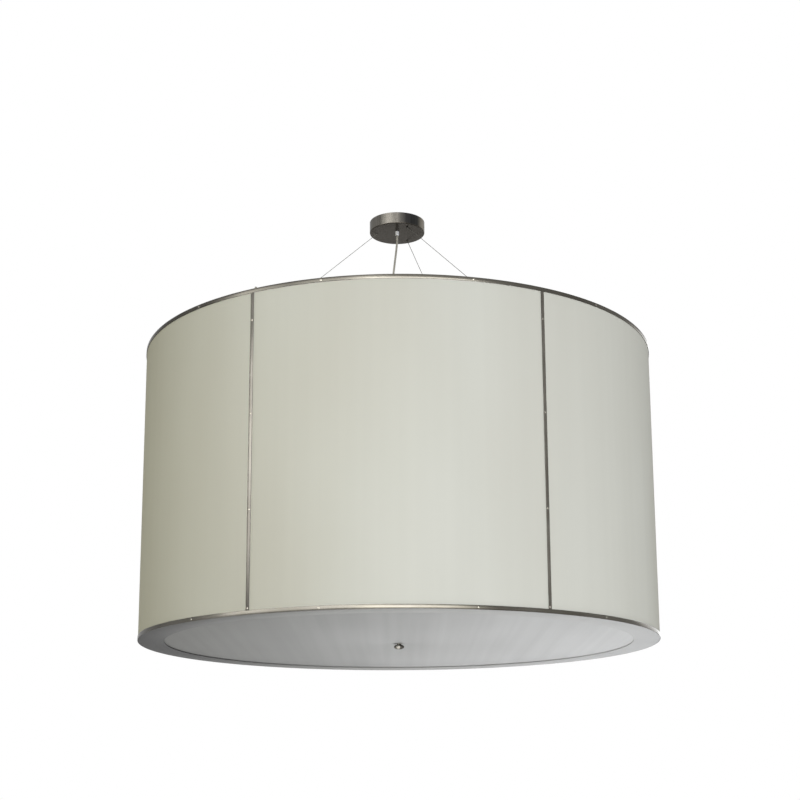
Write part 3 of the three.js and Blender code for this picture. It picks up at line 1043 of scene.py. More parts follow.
class Finish(Enum):
    """Every finish on the chandelier, under the slot that the record gives it."""

    ZINC = SatinCoat("zinc_plate", "8D9092", "A3A6A8", (0.3, 0.45), (30, 30, 30), 0.6)
    # The canopy's side stops are painted reflections, light and dark round the axis, and its underside
    # colours are painted shade.
    CANOPY = SpunNickel(
        "canopy_nickel",
        -34.9 * MM,
        ("45413B", "4C4842"),
        (
            (0.0, "64635E"), (0.11, "625F5A"), (0.15, "504E49"), (0.178, "6E6B64"), (0.2, "7B7770"),
            (0.225, "6E6B64"), (0.25, "7E7A73"), (0.272, "615F5A"), (0.302, "3A3938"), (0.335, "2C2C2C"),
            (0.38, "2F2F2E"), (0.41, "66625A"), (0.445, "837D72"), (0.5, "6B6861"),
        ),
    )
    # The top band's greys round the axis are painted reflections, dark and light stretches of the room.
    TOP_RIM = BrushedMetal(
        "rim_nickel",
        "56534C",
        "625F58",
        "6E6B63",
        Brush.ROUND_THE_AXIS,
        (5, 5, 2),
        painted_reflections=(
            (0.0, 0xE4), (0.13, 0xB8), (0.16, 0xDC), (0.19, 0x9C), (0.24, 0xFF), (0.28, 0xFF), (0.3, 0xD3),
            (0.4, 0xD3), (0.44, 0xF4),
        ),
    )
    # The bottom band's greys round the axis are painted reflections, dark and light stretches of the room.
    BOTTOM_RIM = BrushedMetal(
        "rim_nickel",
        "5C5950",
        "69665F",
        "76736B",
        Brush.ROUND_THE_AXIS,
        (5, 5, 2),
        painted_reflections=(
            (0.0, 0xDA), (0.09, 0xBE), (0.15, 0xFF), (0.19, 0xDA), (0.23, 0xFF), (0.27, 0xE8),
            (0.295, 0xB5), (0.33, 0xE2), (0.44, 0xBE), (0.46, 0x7F), (0.5, 0x7F), (0.56, 0xDA),
        ),
    )
    STRIP = BrushedMetal("rim_nickel", "56534D", "625F59", "706D66", Brush.UPRIGHT, (3, 3, 7))
    GRIP = SatinCoat("bright_nickel", "D2D2D5", "E0E0E3", (0.3, 0.42), (60, 60, 60), 0.7)
    WASHER = BrushedMetal(
        "bright_nickel", "B5B2AA", "C6C3BB", "D3D1CA", Brush.CROSSED, (60, 60, 60), (0.2, 0.3)
    )
    # The finial's bright stops round its side are a painted highlight, and its darker stops painted shade.
    FINIAL = SpunNickel(
        "bright_nickel",
        -1400 * MM,
        ("57544E", "5F5C56"),
        (
            (0.0, "57544E"), (0.14, "5F5C56"), (0.18, "B8B4AB"),
            (0.26, "BCB8B0"), (0.3, "5F5C56"), (0.5, "4A4844"),
        ),
    )
    BRIGHT = BrushedMetal(
        "bright_nickel", "7C786F", "9B978D", "BDB9B0", Brush.CROSSED,
        (60, 60, 60), (0.1, 0.2), 0.002 * MM, 0.9,
    )
    STEEL = BrushedMetal(
        "cable_steel", "4A4945", "5C5B56", "6E6D68", Brush.CROSSED, (90, 90, 90), (0.26, 0.4)
    )
    CORD = CordJacket("cord", "8E8A81", "A4A097")
    # The flange's grey runs from dark at the left to light at the right: painted shade.
    FLANGE = GradedCoat("flange_grey", "414141", "ABABAA", "C3C4C5", 762 * MM)
    FRAME = SatinCoat("frame_paint", "D2D0C8", "DEDCD5")
    SHADE = ShadeSheet("shade", "CFCEC4", "D3D3CA", "D7D7CF")
    # The diffuser's grey runs from dark at the left to light at the right: painted shade.
    DIFFUSER = FrostedSheet("diffuser", "7B7B79", "D0D1D2", 711 * MM)
    PORCELAIN = GlazedWhite("porcelain", "DEDBD2", "E8E6DE", 0.7)
    OPAL = GlazedWhite("lamp_glass", "E2E0D8", "ECEAE4", 0.4)


class FinishRack:
    """The made materials, one for each finish, and the handing over of finished pieces."""

    def __init__(self) -> None:
        """Make every material once."""
        self.materials = {finish: finish.value.make(finish.name.lower()) for finish in Finish}

    def dress(self, piece: Piece, finish: Finish) -> None:
        """Give a piece one finish all over."""
        piece.data.materials.clear()
        piece.data.materials.append(self.materials[finish])

    def dress_nodes(self, names: Sequence[str], finish: Finish) -> None:
        """Give nodes of the frame that stay on view their finish.

        Args:
            names: The nodes' names.
            finish: Their finish.
        """
        for name in names:
            self.dress(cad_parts[name], finish)
            log.info("%s keeps its own shape", name)

    def hand_over(self, piece: Piece, finish: Finish, body: str, *nodes: str) -> None:
        """Dress a finished piece and fasten it to its body.

        Args:
            piece: The finished object.
            finish: Its finish.
            body: The body of the frame that it rides on.
            nodes: The nodes that it stands for.
        """
        self.dress(piece, finish)
        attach(piece, body)
        if nodes:
            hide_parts(*nodes)
        log.info("%s rides on %s and stands for %s", piece.name, body, ", ".join(nodes) or "no node")

    def hand_out(
        self,
        pattern: Piece,
        name: str,
        places: dict[int, Matrix],
        finish: Finish,
        node: str = "",
        body: str = "fixture",
    ) -> None:
        """Hand over a copy of a pattern at each of its places, and throw the pattern away.

        Args:
            pattern: The finished object.
            name: The copies' name, before their number.
            places: Where each copy goes, by its number.
            finish: Their finish.
            node: The node that a copy stands for, with braces where its number goes, or nothing.
            body: The body that a copy rides on, with braces where its number goes.
        """
        for number, place in places.items():
            piece = Bench.copy(pattern, f"{name}_{number}", place)
            nodes = [node.format(number)] if node else []
            self.hand_over(piece, finish, body.format(number), *nodes)
        bpy.data.objects.remove(pattern)


@dataclass(frozen=True)
class Viewpoint:
    """Where the photograph was taken from, and how its camera was turned."""

    image_side_pixels: float = 800.0
    focal_length_pixels: float = 1442.8
    sensor_side: float = 36.0
    across: float = 1.45 * MM
    distance: float = 4252.1 * MM
    height: float = -1824.3 * MM
    tilt: float = 0.20246
    yaw: float = 0.00074
    roll: float = -0.00479
    shift_up: float = 0.15

    def facing(self) -> Matrix:
        """Work out the camera's place and turn.

        Returns:
            The place whose -Z axis looks at the drum.
        """
        flat = math.cos(self.tilt)
        ahead = Vector((math.sin(self.yaw) * flat, math.cos(self.yaw) * flat, math.sin(self.tilt)))
        level = Vector((math.cos(self.yaw), -math.sin(self.yaw), 0))
        upright = level.cross(ahead)
        right = level * math.cos(self.roll) + upright * math.sin(self.roll)
        up = upright * math.cos(self.roll) - level * math.sin(self.roll)
        turn = Matrix((right, up, -ahead)).transposed().to_4x4()
        return Matrix.Translation((self.across, -self.distance, self.height)) @ turn

    def set_up(self) -> None:
        """Add the scene's camera."""
        bpy.ops.object.camera_add()
        camera = Bench.take("photograph_camera")
        camera.matrix_world = self.facing()
        camera.data.sensor_width = self.sensor_side
        camera.data.lens = self.focal_length_pixels * self.sensor_side / self.image_side_pixels
        camera.data.shift_y = self.shift_up
        bpy.context.scene.camera = camera


@dataclass(frozen=True)
class DrumSizes:
    """The drum's radii and heights, taken from the frame."""

    radius: float
    top: float
    bottom: float
    band_thickness: float
    panel_outer: float
    panel_inner: float
    upright_inner: float
    upright_outer: float

    @classmethod
    def from_frame(cls) -> "DrumSizes":
        """Measure the frame's nodes.

        Returns:
            The sizes.
        """
        band_low, band_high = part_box("bottom_band")
        strip_low, strip_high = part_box("trim_strip_1")
        upright_low, upright_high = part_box("upright_1")
        upright_half = (upright_high.y - upright_low.y) / 2
        setback = upright_half * math.tan(math.radians(RING_FACET / 2))
        return cls(
            radius=band_high.x,
            top=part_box("top_band")[1].z,
            bottom=band_low.z,
            band_thickness=strip_high.x - strip_low.x,
            panel_outer=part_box("bottom_ring")[1].x,
            panel_inner=upright_high.x + setback + SEAT,
            upright_inner=upright_low.x,
            upright_outer=upright_high.x,
        )


@dataclass
class PowerCord:
    """The slack power cord between the canopy's grip and the hub's gland.

    Each row of the route is a share of the cord's fall, and its offset along X and Y in millimetres from
    the line between the grip and the gland, which eases in and out.
    """

    rack: FinishRack
    diameter: float = 6.2 * MM
    length: float = 535 * MM
    route: tuple[Triple, ...] = (
        (0, 0, 0), (0.02, 0, 0), (0.04, -0.4, 0.1), (0.07, -1.8, 0.4), (0.12, -4.8, 1), (0.21, -10.6, 2.4),
        (0.33, -18, 4.4), (0.45, -24, 6.2), (0.56, -26.8, 7.2), (0.66, -25.4, 7), (0.76, -19.6, 5.4),
        (0.85, -11, 3), (0.91, -4.8, 1.2), (0.955, -1, 0.2), (0.98, 0, 0), (1, 0, 0),
    )

    def points(self) -> list[Vector]:
        """Lay the route between the grip and the gland.

        Returns:
            The points that the cord passes, from the top down.
        """
        grip_low, grip_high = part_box("cord_grip")
        setback = (grip_low.y + grip_high.y) / 2
        top = grip_low.z - SEAT
        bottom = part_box("hub_gland")[1].z + SEAT
        points = []
        for share, x, y in self.route:
            eased = setback * (1 - share**2 * (3 - 2 * share))
            points.append(Vector((x * MM, y * MM + eased, top + share * (bottom - top))))
        return points

    def make(self) -> None:
        points = self.points()
        bpy.ops.curve.primitive_bezier_curve_add(location=(0, 0, 0))
        cord = Bench.take("power_cord_jacket")
        line = cord.data
        line.dimensions = "3D"
        line.bevel_depth = self.diameter / 2
        line.bevel_resolution = 6
        line.resolution_u = 8
        line.use_fill_caps = True
        knots = line.splines[0].bezier_points
        knots.add(len(points) - len(knots))
        for knot, point in zip(knots, points):
            knot.co = point
            knot.handle_left_type = "AUTO"
            knot.handle_right_type = "AUTO"
        self.rack.hand_over(cord, Finish.CORD, "fixture", "power_cord")


@dataclass
class CableLines:
    """Three taut wire ropes, each with its gripper in the canopy and its fork on an upright's lug.

    A pressed ring of the fork's shank has a start, an end, and a height at which the shank is round again.
    """

    drum: DrumSizes
    rack: FinishRack
    diameter: float = 1.6 * MM
    strand_count: int = 6
    lay_length: float = 11 * MM
    valley_share: float = 0.72
    steps_per_lay: int = 14
    hole_inset: float = 24 * MM
    canopy_wall: float = 1.6 * MM
    lug_reach: float = 17.6 * MM
    lug_drop: float = 113.2 * MM
    lug_thickness: float = 3.2 * MM
    lug_end_radius: float = 8 * MM
    ear_distance: float = 26 * MM
    ear_thickness: float = 3.2 * MM
    nose_reach: float = 1.2 * MM
    nose_radius: float = 2.5 * MM
    barrel_radius: float = 5.2 * MM
    barrel_length: float = 13 * MM
    barrel_chamfer: float = 1.5 * MM
    barrel_rounding: float = 0.15 * MM
    cheek_thickness: float = 2.4 * MM
    cheek_radius: float = 6.5 * MM
    cheek_rounding: float = 0.5 * MM
    fork_depth: float = 14 * MM
    pin_radius: float = 3 * MM
    pin_head: float = 0.5 * MM
    shank_radius: float = 2.5 * MM
    shank_length: float = 24 * MM
    shank_root_share: float = 0.66
    shank_end_share: float = 0.8
    pressed_share: float = 0.86
    pressed_rings: tuple[Triple, ...] = ((1 * MM, 2.4 * MM, 3.2 * MM), (4.2 * MM, 5.6 * MM, 6.4 * MM))
    hole_radius: float = field(init=False)
    eye_radius: float = field(init=False)
    eye_height: float = field(init=False)
    slant: float = field(init=False)
    to_hole: float = field(init=False)

    def __post_init__(self) -> None:
        """Work out the line from the lug's eye to the canopy's hole."""
        self.hole_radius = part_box("canopy")[1].x - self.hole_inset
        self.eye_radius = self.drum.upright_inner - self.lug_reach
        self.eye_height = self.drum.top - self.lug_drop
        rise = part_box("canopy")[0].z + self.canopy_wall / 2 - self.eye_height
        run = self.eye_radius - self.hole_radius
        self.slant = math.atan2(run, rise)
        self.to_hole = math.hypot(run, rise)

    def line_place(self, number: int) -> Matrix:
        """Find a cable's line.

        Args:
            number: The cable's number, 1, 2 or 3.

        Returns:
            The place whose Z axis runs up the cable from its lug's eye.
        """
        eye = at_upright(CABLE_UPRIGHTS[number - 1], self.eye_radius, self.eye_height)
        return eye @ Matrix.Rotation(-self.slant, 4, "Y")

    def ear_lower_face(self) -> float:
        """Distance up the line of the ear's lower face."""
        return self.to_hole + self.ear_distance - self.ear_thickness / 2

    def rope_ends(self) -> Point:
        """Distances up the line between which the rope shows."""
        return self.shank_length + SEAT, self.ear_lower_face() - self.nose_reach - SEAT

    def rope(self) -> Piece:
        """Twist one rope upright on the Z axis, as long as the cable shows.

        Returns:
            The rope, with closed ends.
        """
        bottom, top = self.rope_ends()
        sides = 4 * self.strand_count
        lays = round((top - bottom) / self.lay_length)
        bpy.ops.mesh.primitive_circle_add(vertices=sides, radius=self.diameter / 2, location=(0, 0, bottom))
        rope = Bench.settle(Bench.take("rope"))
        valleys = [FULL_TURN * i / self.strand_count for i in range(self.strand_count)]

        def in_valley(place: Vector) -> bool:
            """Whether a vertex lies between two strands."""
            bearing = math.atan2(place.y, place.x)
            return any(abs(math.remainder(bearing - valley, FULL_TURN)) < 0.01 for valley in valleys)

        with Bench.editing(rope):
            Bench.pick_vertices(rope, in_valley)
            share = self.valley_share
            bpy.ops.transform.resize(value=(share, share, 1), center_override=(0, 0, bottom))
        Bench.apply(
            rope,
            "SCREW",
            angle=FULL_TURN,
            screw_offset=(top - bottom) / lays,
            iterations=lays,
            steps=self.steps_per_lay,
            render_steps=self.steps_per_lay,
            use_smooth_shade=True,
        )
        with Bench.editing(rope, "EDGE"):
            Bench.weld()
            bpy.ops.mesh.fill_holes(sides=0)
            Bench.face_outwards()
        Bench.smooth(rope, 60)
        return rope

    def gripper(self) -> Piece:
        """Turn the gripper's barrel with its nose, a groove and a hollow end.

        Returns:
            The gripper on the Z axis.
        """
        nose_end = self.ear_lower_face() - self.nose_reach
        bottom = self.ear_lower_face() + self.ear_thickness + SEAT
        top = bottom + self.barrel_length
        groove = self.barrel_chamfer / 2
        middle = (bottom + top) / 2
        outline = [
            (0, nose_end),
            (self.nose_radius, nose_end),
            (self.nose_radius, bottom),
            (self.barrel_radius, bottom),
            (self.barrel_radius, middle - groove),
            (self.barrel_radius - groove, middle),
            (self.barrel_radius, middle + groove),
            (self.barrel_radius, top - self.barrel_chamfer),
            (self.barrel_radius - self.barrel_chamfer, top),
            (self.diameter, top),
            (self.diameter, top - self.barrel_chamfer),
            (0, top - self.barrel_chamfer),
        ]
        return Bench.soften(Bench.turn("gripper", outline, 40), self.barrel_rounding)

    def shank(self) -> Piece:
        """Turn the fork's shank, pressed onto the rope in rings.

        Returns:
            The shank on the Z axis.
        """
        root = self.cheek_radius * self.shank_root_share
        neck = self.fork_depth + self.cheek_thickness
        pressed = self.shank_radius * self.pressed_share
        outline = [
            (0, self.fork_depth - self.cheek_thickness),
            (root, self.fork_depth - self.cheek_thickness),
            (root, self.fork_depth),
            (self.shank_radius, neck),
        ]
        for start, end, after in self.pressed_rings:
            outline += [(pressed, neck + start), (pressed, neck + end), (self.shank_radius, neck + after)]
        outline += [(self.shank_radius * self.shank_end_share, self.shank_length), (0, self.shank_length)]
        return Bench.turn("shank", outline, 32)

    def fork(self) -> Piece:
        """Shape the fork: round-nosed cheeks with a slot for the lug, a headed pin and a pressed shank.

        Returns:
            The fork, with the lug's eye at the origin and its shank up the Z axis.
        """
        gap = self.lug_thickness / 2 + SEAT
        half = gap + self.cheek_thickness
        radius = self.cheek_radius
        block = Bench.block("fork", (-radius, -half, 0), (radius, half, self.fork_depth))
        Bench.unite(block, Bench.lay(Bench.bar("nose", radius, -half, half, 48), "X"))
        reach = radius + self.cheek_thickness
        slot_top = self.lug_end_radius + SEAT
        Bench.cut(block, [Bench.block("slot", (-reach, -gap, -reach), (reach, gap, slot_top))])
        Bench.round_edges(block, self.cheek_rounding, 3)
        shank = self.shank()
        pin = [
            Bench.bar("pin", self.pin_radius - SEAT, -half, half, 32),
            Bench.bar("head", self.pin_radius + self.pin_head, -half - self.pin_head, -half, 32),
            Bench.bar("rivet", self.pin_radius, half, half + self.pin_head, 32),
        ]
        fork = Bench.join("fork", [block, shank, Bench.lay(Bench.join("pin", pin), "X")])
        Bench.smooth(fork)
        return fork

    def make(self) -> None:
        """Make one cable with its fittings and place it three times."""
        rope, gripper, fork = self.rope(), self.gripper(), self.fork()
        for number in CABLES:
            place = self.line_place(number)
            cable = Bench.copy(rope, f"wire_rope_{number}", place)
            self.rack.hand_over(cable, Finish.STEEL, "fixture", f"cable_{number}")
            for name, fitting in (("gripper", gripper), ("fork", fork)):
                copy = Bench.copy(fitting, f"{name}_{number}", place)
                self.rack.hand_over(copy, Finish.BRIGHT, "fixture", f"cable_{name}_{number}")
        for pattern in (rope, gripper, fork):
            bpy.data.objects.remove(pattern)


@dataclass
class Canopy:
    """The spun canopy cup with its cable holes, and the cord grip in its middle."""

    rack: FinishRack
    lines: CableLines
    wall: float = 1.6 * MM
    bend: float = 1.9 * MM
    rounding: float = 0.2 * MM
    hole_radius: float = 5.3 * MM
    cable_hole_radius: float = 3.2 * MM
    drill_reach: float = 12 * MM
    bore_radius: float = 3.5 * MM
    bore_chamfer: float = 0.6 * MM
    tube_radius: float = 5 * MM
    collar_radius: float = 6.3 * MM
    collar_height: float = 1.4 * MM
    collar_chamfer: float = 0.4 * MM
    barrel_radius: float = 5.5 * MM
    barrel_length: float = 11.6 * MM
    nose_radius: float = 2.4 * MM
    waist_share: float = 0.82
    waist_heights: Triple = (0.84, 0.88, 0.91)
    waist_top: float = 0.95
    screw_radius: float = 1.3 * MM
    screw_stand: float = 0.7 * MM
    screw_height: float = 0.45

    def cup(self) -> None:
        """Spin the cup, then drill it along each cable's line."""
        low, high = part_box("canopy")
        radius, floor = high.x, low.z
        corner = (radius - self.bend, floor + self.bend)
        outline = [
            (0, floor),
            *arc(corner, self.bend, -90, 0, 8),
            (radius, high.z),
            (radius - self.wall, high.z),
            *arc(corner, self.bend - self.wall, 0, -90, 6),
            (0, floor + self.wall),
        ]
        cup = Bench.turn("canopy_cup", outline, 180)
        reach = self.drill_reach
        drill = Bench.bar("drill", self.hole_radius, floor - reach, floor + reach, 48)
        drills = [Bench.settle(drill, self.grip_place())]
        middle = Matrix.Translation((0, 0, self.lines.to_hole))
        for number in CABLES:
            drill = Bench.bar("drill", self.cable_hole_radius, -reach, reach, 32)
            drills.append(Bench.settle(drill, self.lines.line_place(number) @ middle))
        Bench.cut(cup, drills)
        Bench.flatten_shading(Bench.soften(cup, self.rounding))
        self.rack.hand_over(cup, Finish.CANOPY, "fixture", "canopy")

    @staticmethod
    def grip_place() -> Matrix:
        """The cord grip's own axis, a little in front of the chandelier's."""
        low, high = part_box("cord_grip")
        return Matrix.Translation((0, (low.y + high.y) / 2, 0))

    def grip_outline(self) -> list[Point]:
        """Draw the cord grip: threaded tube, collar, waist and rounded barrel.

        Returns:
            Its outline in radius and height, closed round the bore.
        """
        low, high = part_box("cord_grip")
        mouth = low.z
        collar_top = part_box("canopy")[0].z - SEAT
        collar_bottom = collar_top - self.collar_height
        barrel, waist, nose = self.barrel_radius, self.barrel_radius * self.waist_share, self.nose_radius
        shoulder, bend, narrow = (mouth + share * self.barrel_length for share in self.waist_heights)
        waist_corners = [
            (barrel, bend),
            (waist, narrow),
            (waist, mouth + self.waist_top * self.barrel_length),
            (barrel, collar_bottom),
        ]
        return [
            (self.bore_radius, high.z),
            (self.bore_radius, mouth + self.bore_chamfer),
            (self.bore_radius + self.bore_chamfer, mouth),
            *arc((barrel - nose, mouth + nose), nose, -90, 0, 6),
            (barrel, shoulder),
            *curve_points(waist_corners, 6),
            (self.collar_radius - self.collar_chamfer, collar_bottom),
            (self.collar_radius, collar_bottom + self.collar_chamfer),
            (self.collar_radius, collar_top),
            (self.tube_radius, collar_top),
            (self.tube_radius, high.z),
        ]

    def cord_grip(self) -> None:
        """Turn the cord grip and set its clamping screw."""
        grip = Bench.turn("cord_grip_barrel", self.grip_outline(), 64)
        screw_end = self.barrel_radius + self.screw_stand
        screw = Bench.bar("clamping_screw", self.screw_radius, self.bore_radius, screw_end, 20, self.rounding)
        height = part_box("cord_grip")[0].z + self.screw_height * self.barrel_length
        Bench.settle(screw, Matrix.Translation((0, 0, height)) @ Matrix.Rotation(QUARTER_TURN, 4, "Y"))
        grip = Bench.settle(Bench.join("cord_grip_barrel", [grip, screw]), self.grip_place())
        Bench.smooth(grip)
        self.rack.hand_over(grip, Finish.GRIP, "cord_grip", "cord_grip")

    def make(self) -> None:
        """Make the cup and the grip, and give the plate behind them its zinc finish."""
        self.cup()
        self.cord_grip()
        self.rack.dress_nodes(["ceiling_plate"], Finish.ZINC)


@dataclass
class Screws:
    """Small oval-headed cross-recess screws, copied to wherever a band or strip has one."""

    head_radius: float = 2.6 * MM
    head_rise: float = 0.4 * MM
    head_depth: float = 0.5 * MM
    crown_share: float = 0.7
    recess_length: float = 3.0 * MM
    recess_width: float = 0.7 * MM

    def pattern(self) -> Piece:
        """Make one screw head.

        Returns:
            The head, whose seat is at the origin and whose face looks along +X.
        """
        reach = self.head_radius
        crown = [(reach, 0), (reach * self.crown_share, self.head_rise), (0, self.head_rise)]
        outline = [(0, -self.head_depth), (reach, -self.head_depth), (reach, 0), *curve_points(crown, 6)]
        head = Bench.turn("screw_head", outline, 24)
        long, wide, deep = self.recess_length / 2, self.recess_width / 2, self.head_depth
        bars = []
        for angle in (0, QUARTER_TURN):
            bar = Bench.block("recess", (-long, -wide, -deep / 3), (long, wide, deep))
            bars.append(Bench.settle(bar, turned(angle)))
        Bench.cut(head, bars)
        return Bench.lay(head, "Y")

    def group(self, name: str, places: Sequence[Matrix], pattern: Piece) -> Piece:
        """Copy a screw head to each of its places and join the copies.

        Args:
            name: The group's name.
            places: Where the heads sit.
            pattern: The head to copy.

        Returns:
            The heads as one piece.
        """
        group = Bench.join(name, [Bench.copy(pattern, f"{name}_head", place) for place in places])
        Bench.smooth(group)
        return group


@dataclass
class Rims:
    """The nickel bands round both rims, the six trim strips and the screws that hold them."""

    drum: DrumSizes
    rack: FinishRack
    screws: Screws = field(default_factory=Screws)
    band_rounding: float = 0.3 * MM
    butt_gap: float = 0.5 * MM
    butt_angle: float = math.radians(75)
    rim_screw_count: int = 12
    strip_rounding: float = 0.35 * MM
    strip_screw_heights: tuple[float, ...] = (16 * MM, 270 * MM, 523.5 * MM, 777 * MM)

    def face_radius(self) -> float:
        """Radius of the nickel's face, which leaves the screw heads inside the drum's own radius."""
        return self.drum.radius - self.screws.head_rise

    def band(self, node: str, finish: Finish) -> None:
        """Roll one flat bar round the rim, with its two ends butted at the back.

        Args:
            node: The band's node.
            finish: The band's own tarnished nickel.
        """
        low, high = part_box(node)
        outline = section(self.drum.radius - self.drum.band_thickness, self.face_radius(), low.z, high.z)
        gap_angle = self.butt_gap / self.drum.radius
        band = Bench.turn(f"{node}_nickel", outline, RIM_STEPS, FULL_TURN - gap_angle)
        Bench.round_edges(band, self.band_rounding)
        Bench.settle(band, turned(self.butt_angle + gap_angle / 2))
        Bench.smooth(band)
        self.rack.hand_over(band, finish, "fixture", node)

    def band_screws(self, node: str, pattern: Piece) -> None:
        """Set the screws of one band midway up it, clear of the strips.

        Args:
            node: The band's node.
            pattern: The screw head to copy.
        """
        low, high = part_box(node)
        seat = Matrix.Translation((self.face_radius(), 0, (low.z + high.z) / 2))
        angles = [(i + 0.5) * FULL_TURN / self.rim_screw_count for i in range(self.rim_screw_count)]
        group = self.screws.group(f"{node}_screws", [turned(angle) @ seat for angle in angles], pattern)
        self.rack.hand_over(group, Finish.BRIGHT, "fixture")

    def strips(self, pattern: Piece) -> None:
        """Make one trim strip and its screws, and stand a copy over each panel joint.

        Args:
            pattern: The screw head to copy.
        """
        low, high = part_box("trim_strip_1")
        face = self.face_radius()
        strip = Bench.soften(Bench.block("strip", low, (face, high.y, high.z)), self.strip_rounding)
        heights = [self.drum.bottom + height for height in self.strip_screw_heights]
        for number in UPRIGHTS:
            copy = Bench.copy(strip, f"strip_{number}", at_upright(number, 0))
            self.rack.hand_over(copy, Finish.STRIP, "fixture", f"trim_strip_{number}")
            seats = [at_upright(number, face, height) for height in heights]
            group = self.screws.group(f"strip_screws_{number}", seats, pattern)
            self.rack.hand_over(group, Finish.BRIGHT, "fixture")
        bpy.data.objects.remove(strip)

    def make(self) -> None:
        """Make the bands, the strips and their screws."""
        pattern = self.screws.pattern()
        for node, finish in (("top_band", Finish.TOP_RIM), ("bottom_band", Finish.BOTTOM_RIM)):
            self.band(node, finish)
            self.band_screws(node, pattern)
        self.strips(pattern)
        bpy.data.objects.remove(pattern)


@dataclass
class Shade:
    """Six curved panels between the uprights."""

    drum: DrumSizes
    rack: FinishRack
    joint: float = 0.8 * MM
    rounding: float = 0.3 * MM
    steps: int = 60

    def make(self) -> None:
        """Bend one panel and turn a copy into each bay."""
        low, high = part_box("shade_panel_1")
        half_joint = self.joint / 2 / self.drum.panel_outer
        outline = section(self.drum.panel_inner, self.drum.panel_outer, low.z, high.z)
        sweep = FULL_TURN / len(UPRIGHTS) - 2 * half_joint
        panel = Bench.soften(Bench.turn("panel", outline, self.steps, sweep), self.rounding)
        places = {number: turned(upright_angle(number) + half_joint) for number in UPRIGHTS}
        self.rack.hand_out(panel, "shade_sheet", places, Finish.SHADE, "shade_panel_{}")


@dataclass
class InnerFrame:
    """The rings that carry the panels, the flange under the drum and the studs on the top ring."""

    drum: DrumSizes
    rack: FinishRack
    flange_thickness: float = 3.2 * MM
    bottom_flange: float = 76 * MM
    top_flange: float = 32 * MM
    hoop_width: float = 19 * MM
    rounding: float = 0.4 * MM
    stud_radius: float = 3 * MM
    stud_rise: float = 9.5 * MM
    stud_rounding: float = 0.5 * MM
    nut_radius: float = 5.6 * MM
    nut_height: float = 5 * MM

    def ring(self, node: str, flange_width: float) -> None:
        """Turn one ring: a flat flange with the hoop that the uprights stand on.

        Args:
            node: The ring's node.
            flange_width: Width of its flange from the drum's side inwards.
        """
        low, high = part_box(node)
        at_top = node == "top_ring"
        edge, hoop_face = (high.z, low.z) if at_top else (low.z, high.z)
        flange_face = edge - self.flange_thickness if at_top else edge + self.flange_thickness
        inner = self.drum.radius - flange_width
        hoop_outer = self.drum.panel_inner - SEAT
        hoop_inner = hoop_outer - self.hoop_width
        outline = [
            (inner, edge),
            (self.drum.panel_outer, edge),
            (self.drum.panel_outer, flange_face),
            (hoop_outer, flange_face),
            (hoop_outer, hoop_face),
            (hoop_inner, hoop_face),
            (hoop_inner, flange_face),
            (inner, flange_face),
        ]
        ring = Bench.soften(Bench.turn(f"{node}_flange", outline, RIM_STEPS), self.rounding)
        self.rack.hand_over(ring, Finish.FLANGE, "fixture", node)

    def studs(self) -> None:
        """Stand a stud with its nut on the top ring over each upright that carries no cable."""
        middle = (self.drum.upright_inner + self.drum.upright_outer) / 2
        stud = Bench.bar("stud", self.stud_radius, 0, self.stud_rise, 24, self.stud_rounding)
        nut = Bench.bar("nut", self.nut_radius, 0, self.nut_height, 6, self.rounding)
        pattern = Bench.join("stud", [stud, nut])
        Bench.smooth(pattern)
        places = {number: at_upright(number, middle, self.drum.top) for number in STUD_UPRIGHTS}
        self.rack.hand_out(pattern, "top_stud", places, Finish.BRIGHT)

    def make(self) -> None:
        """Make the rings and studs, and paint the uprights."""
        self.ring("top_ring", self.top_flange)
        self.ring("bottom_ring", self.bottom_flange)
        self.studs()
        self.rack.dress_nodes([f"upright_{number}" for number in UPRIGHTS], Finish.FRAME)


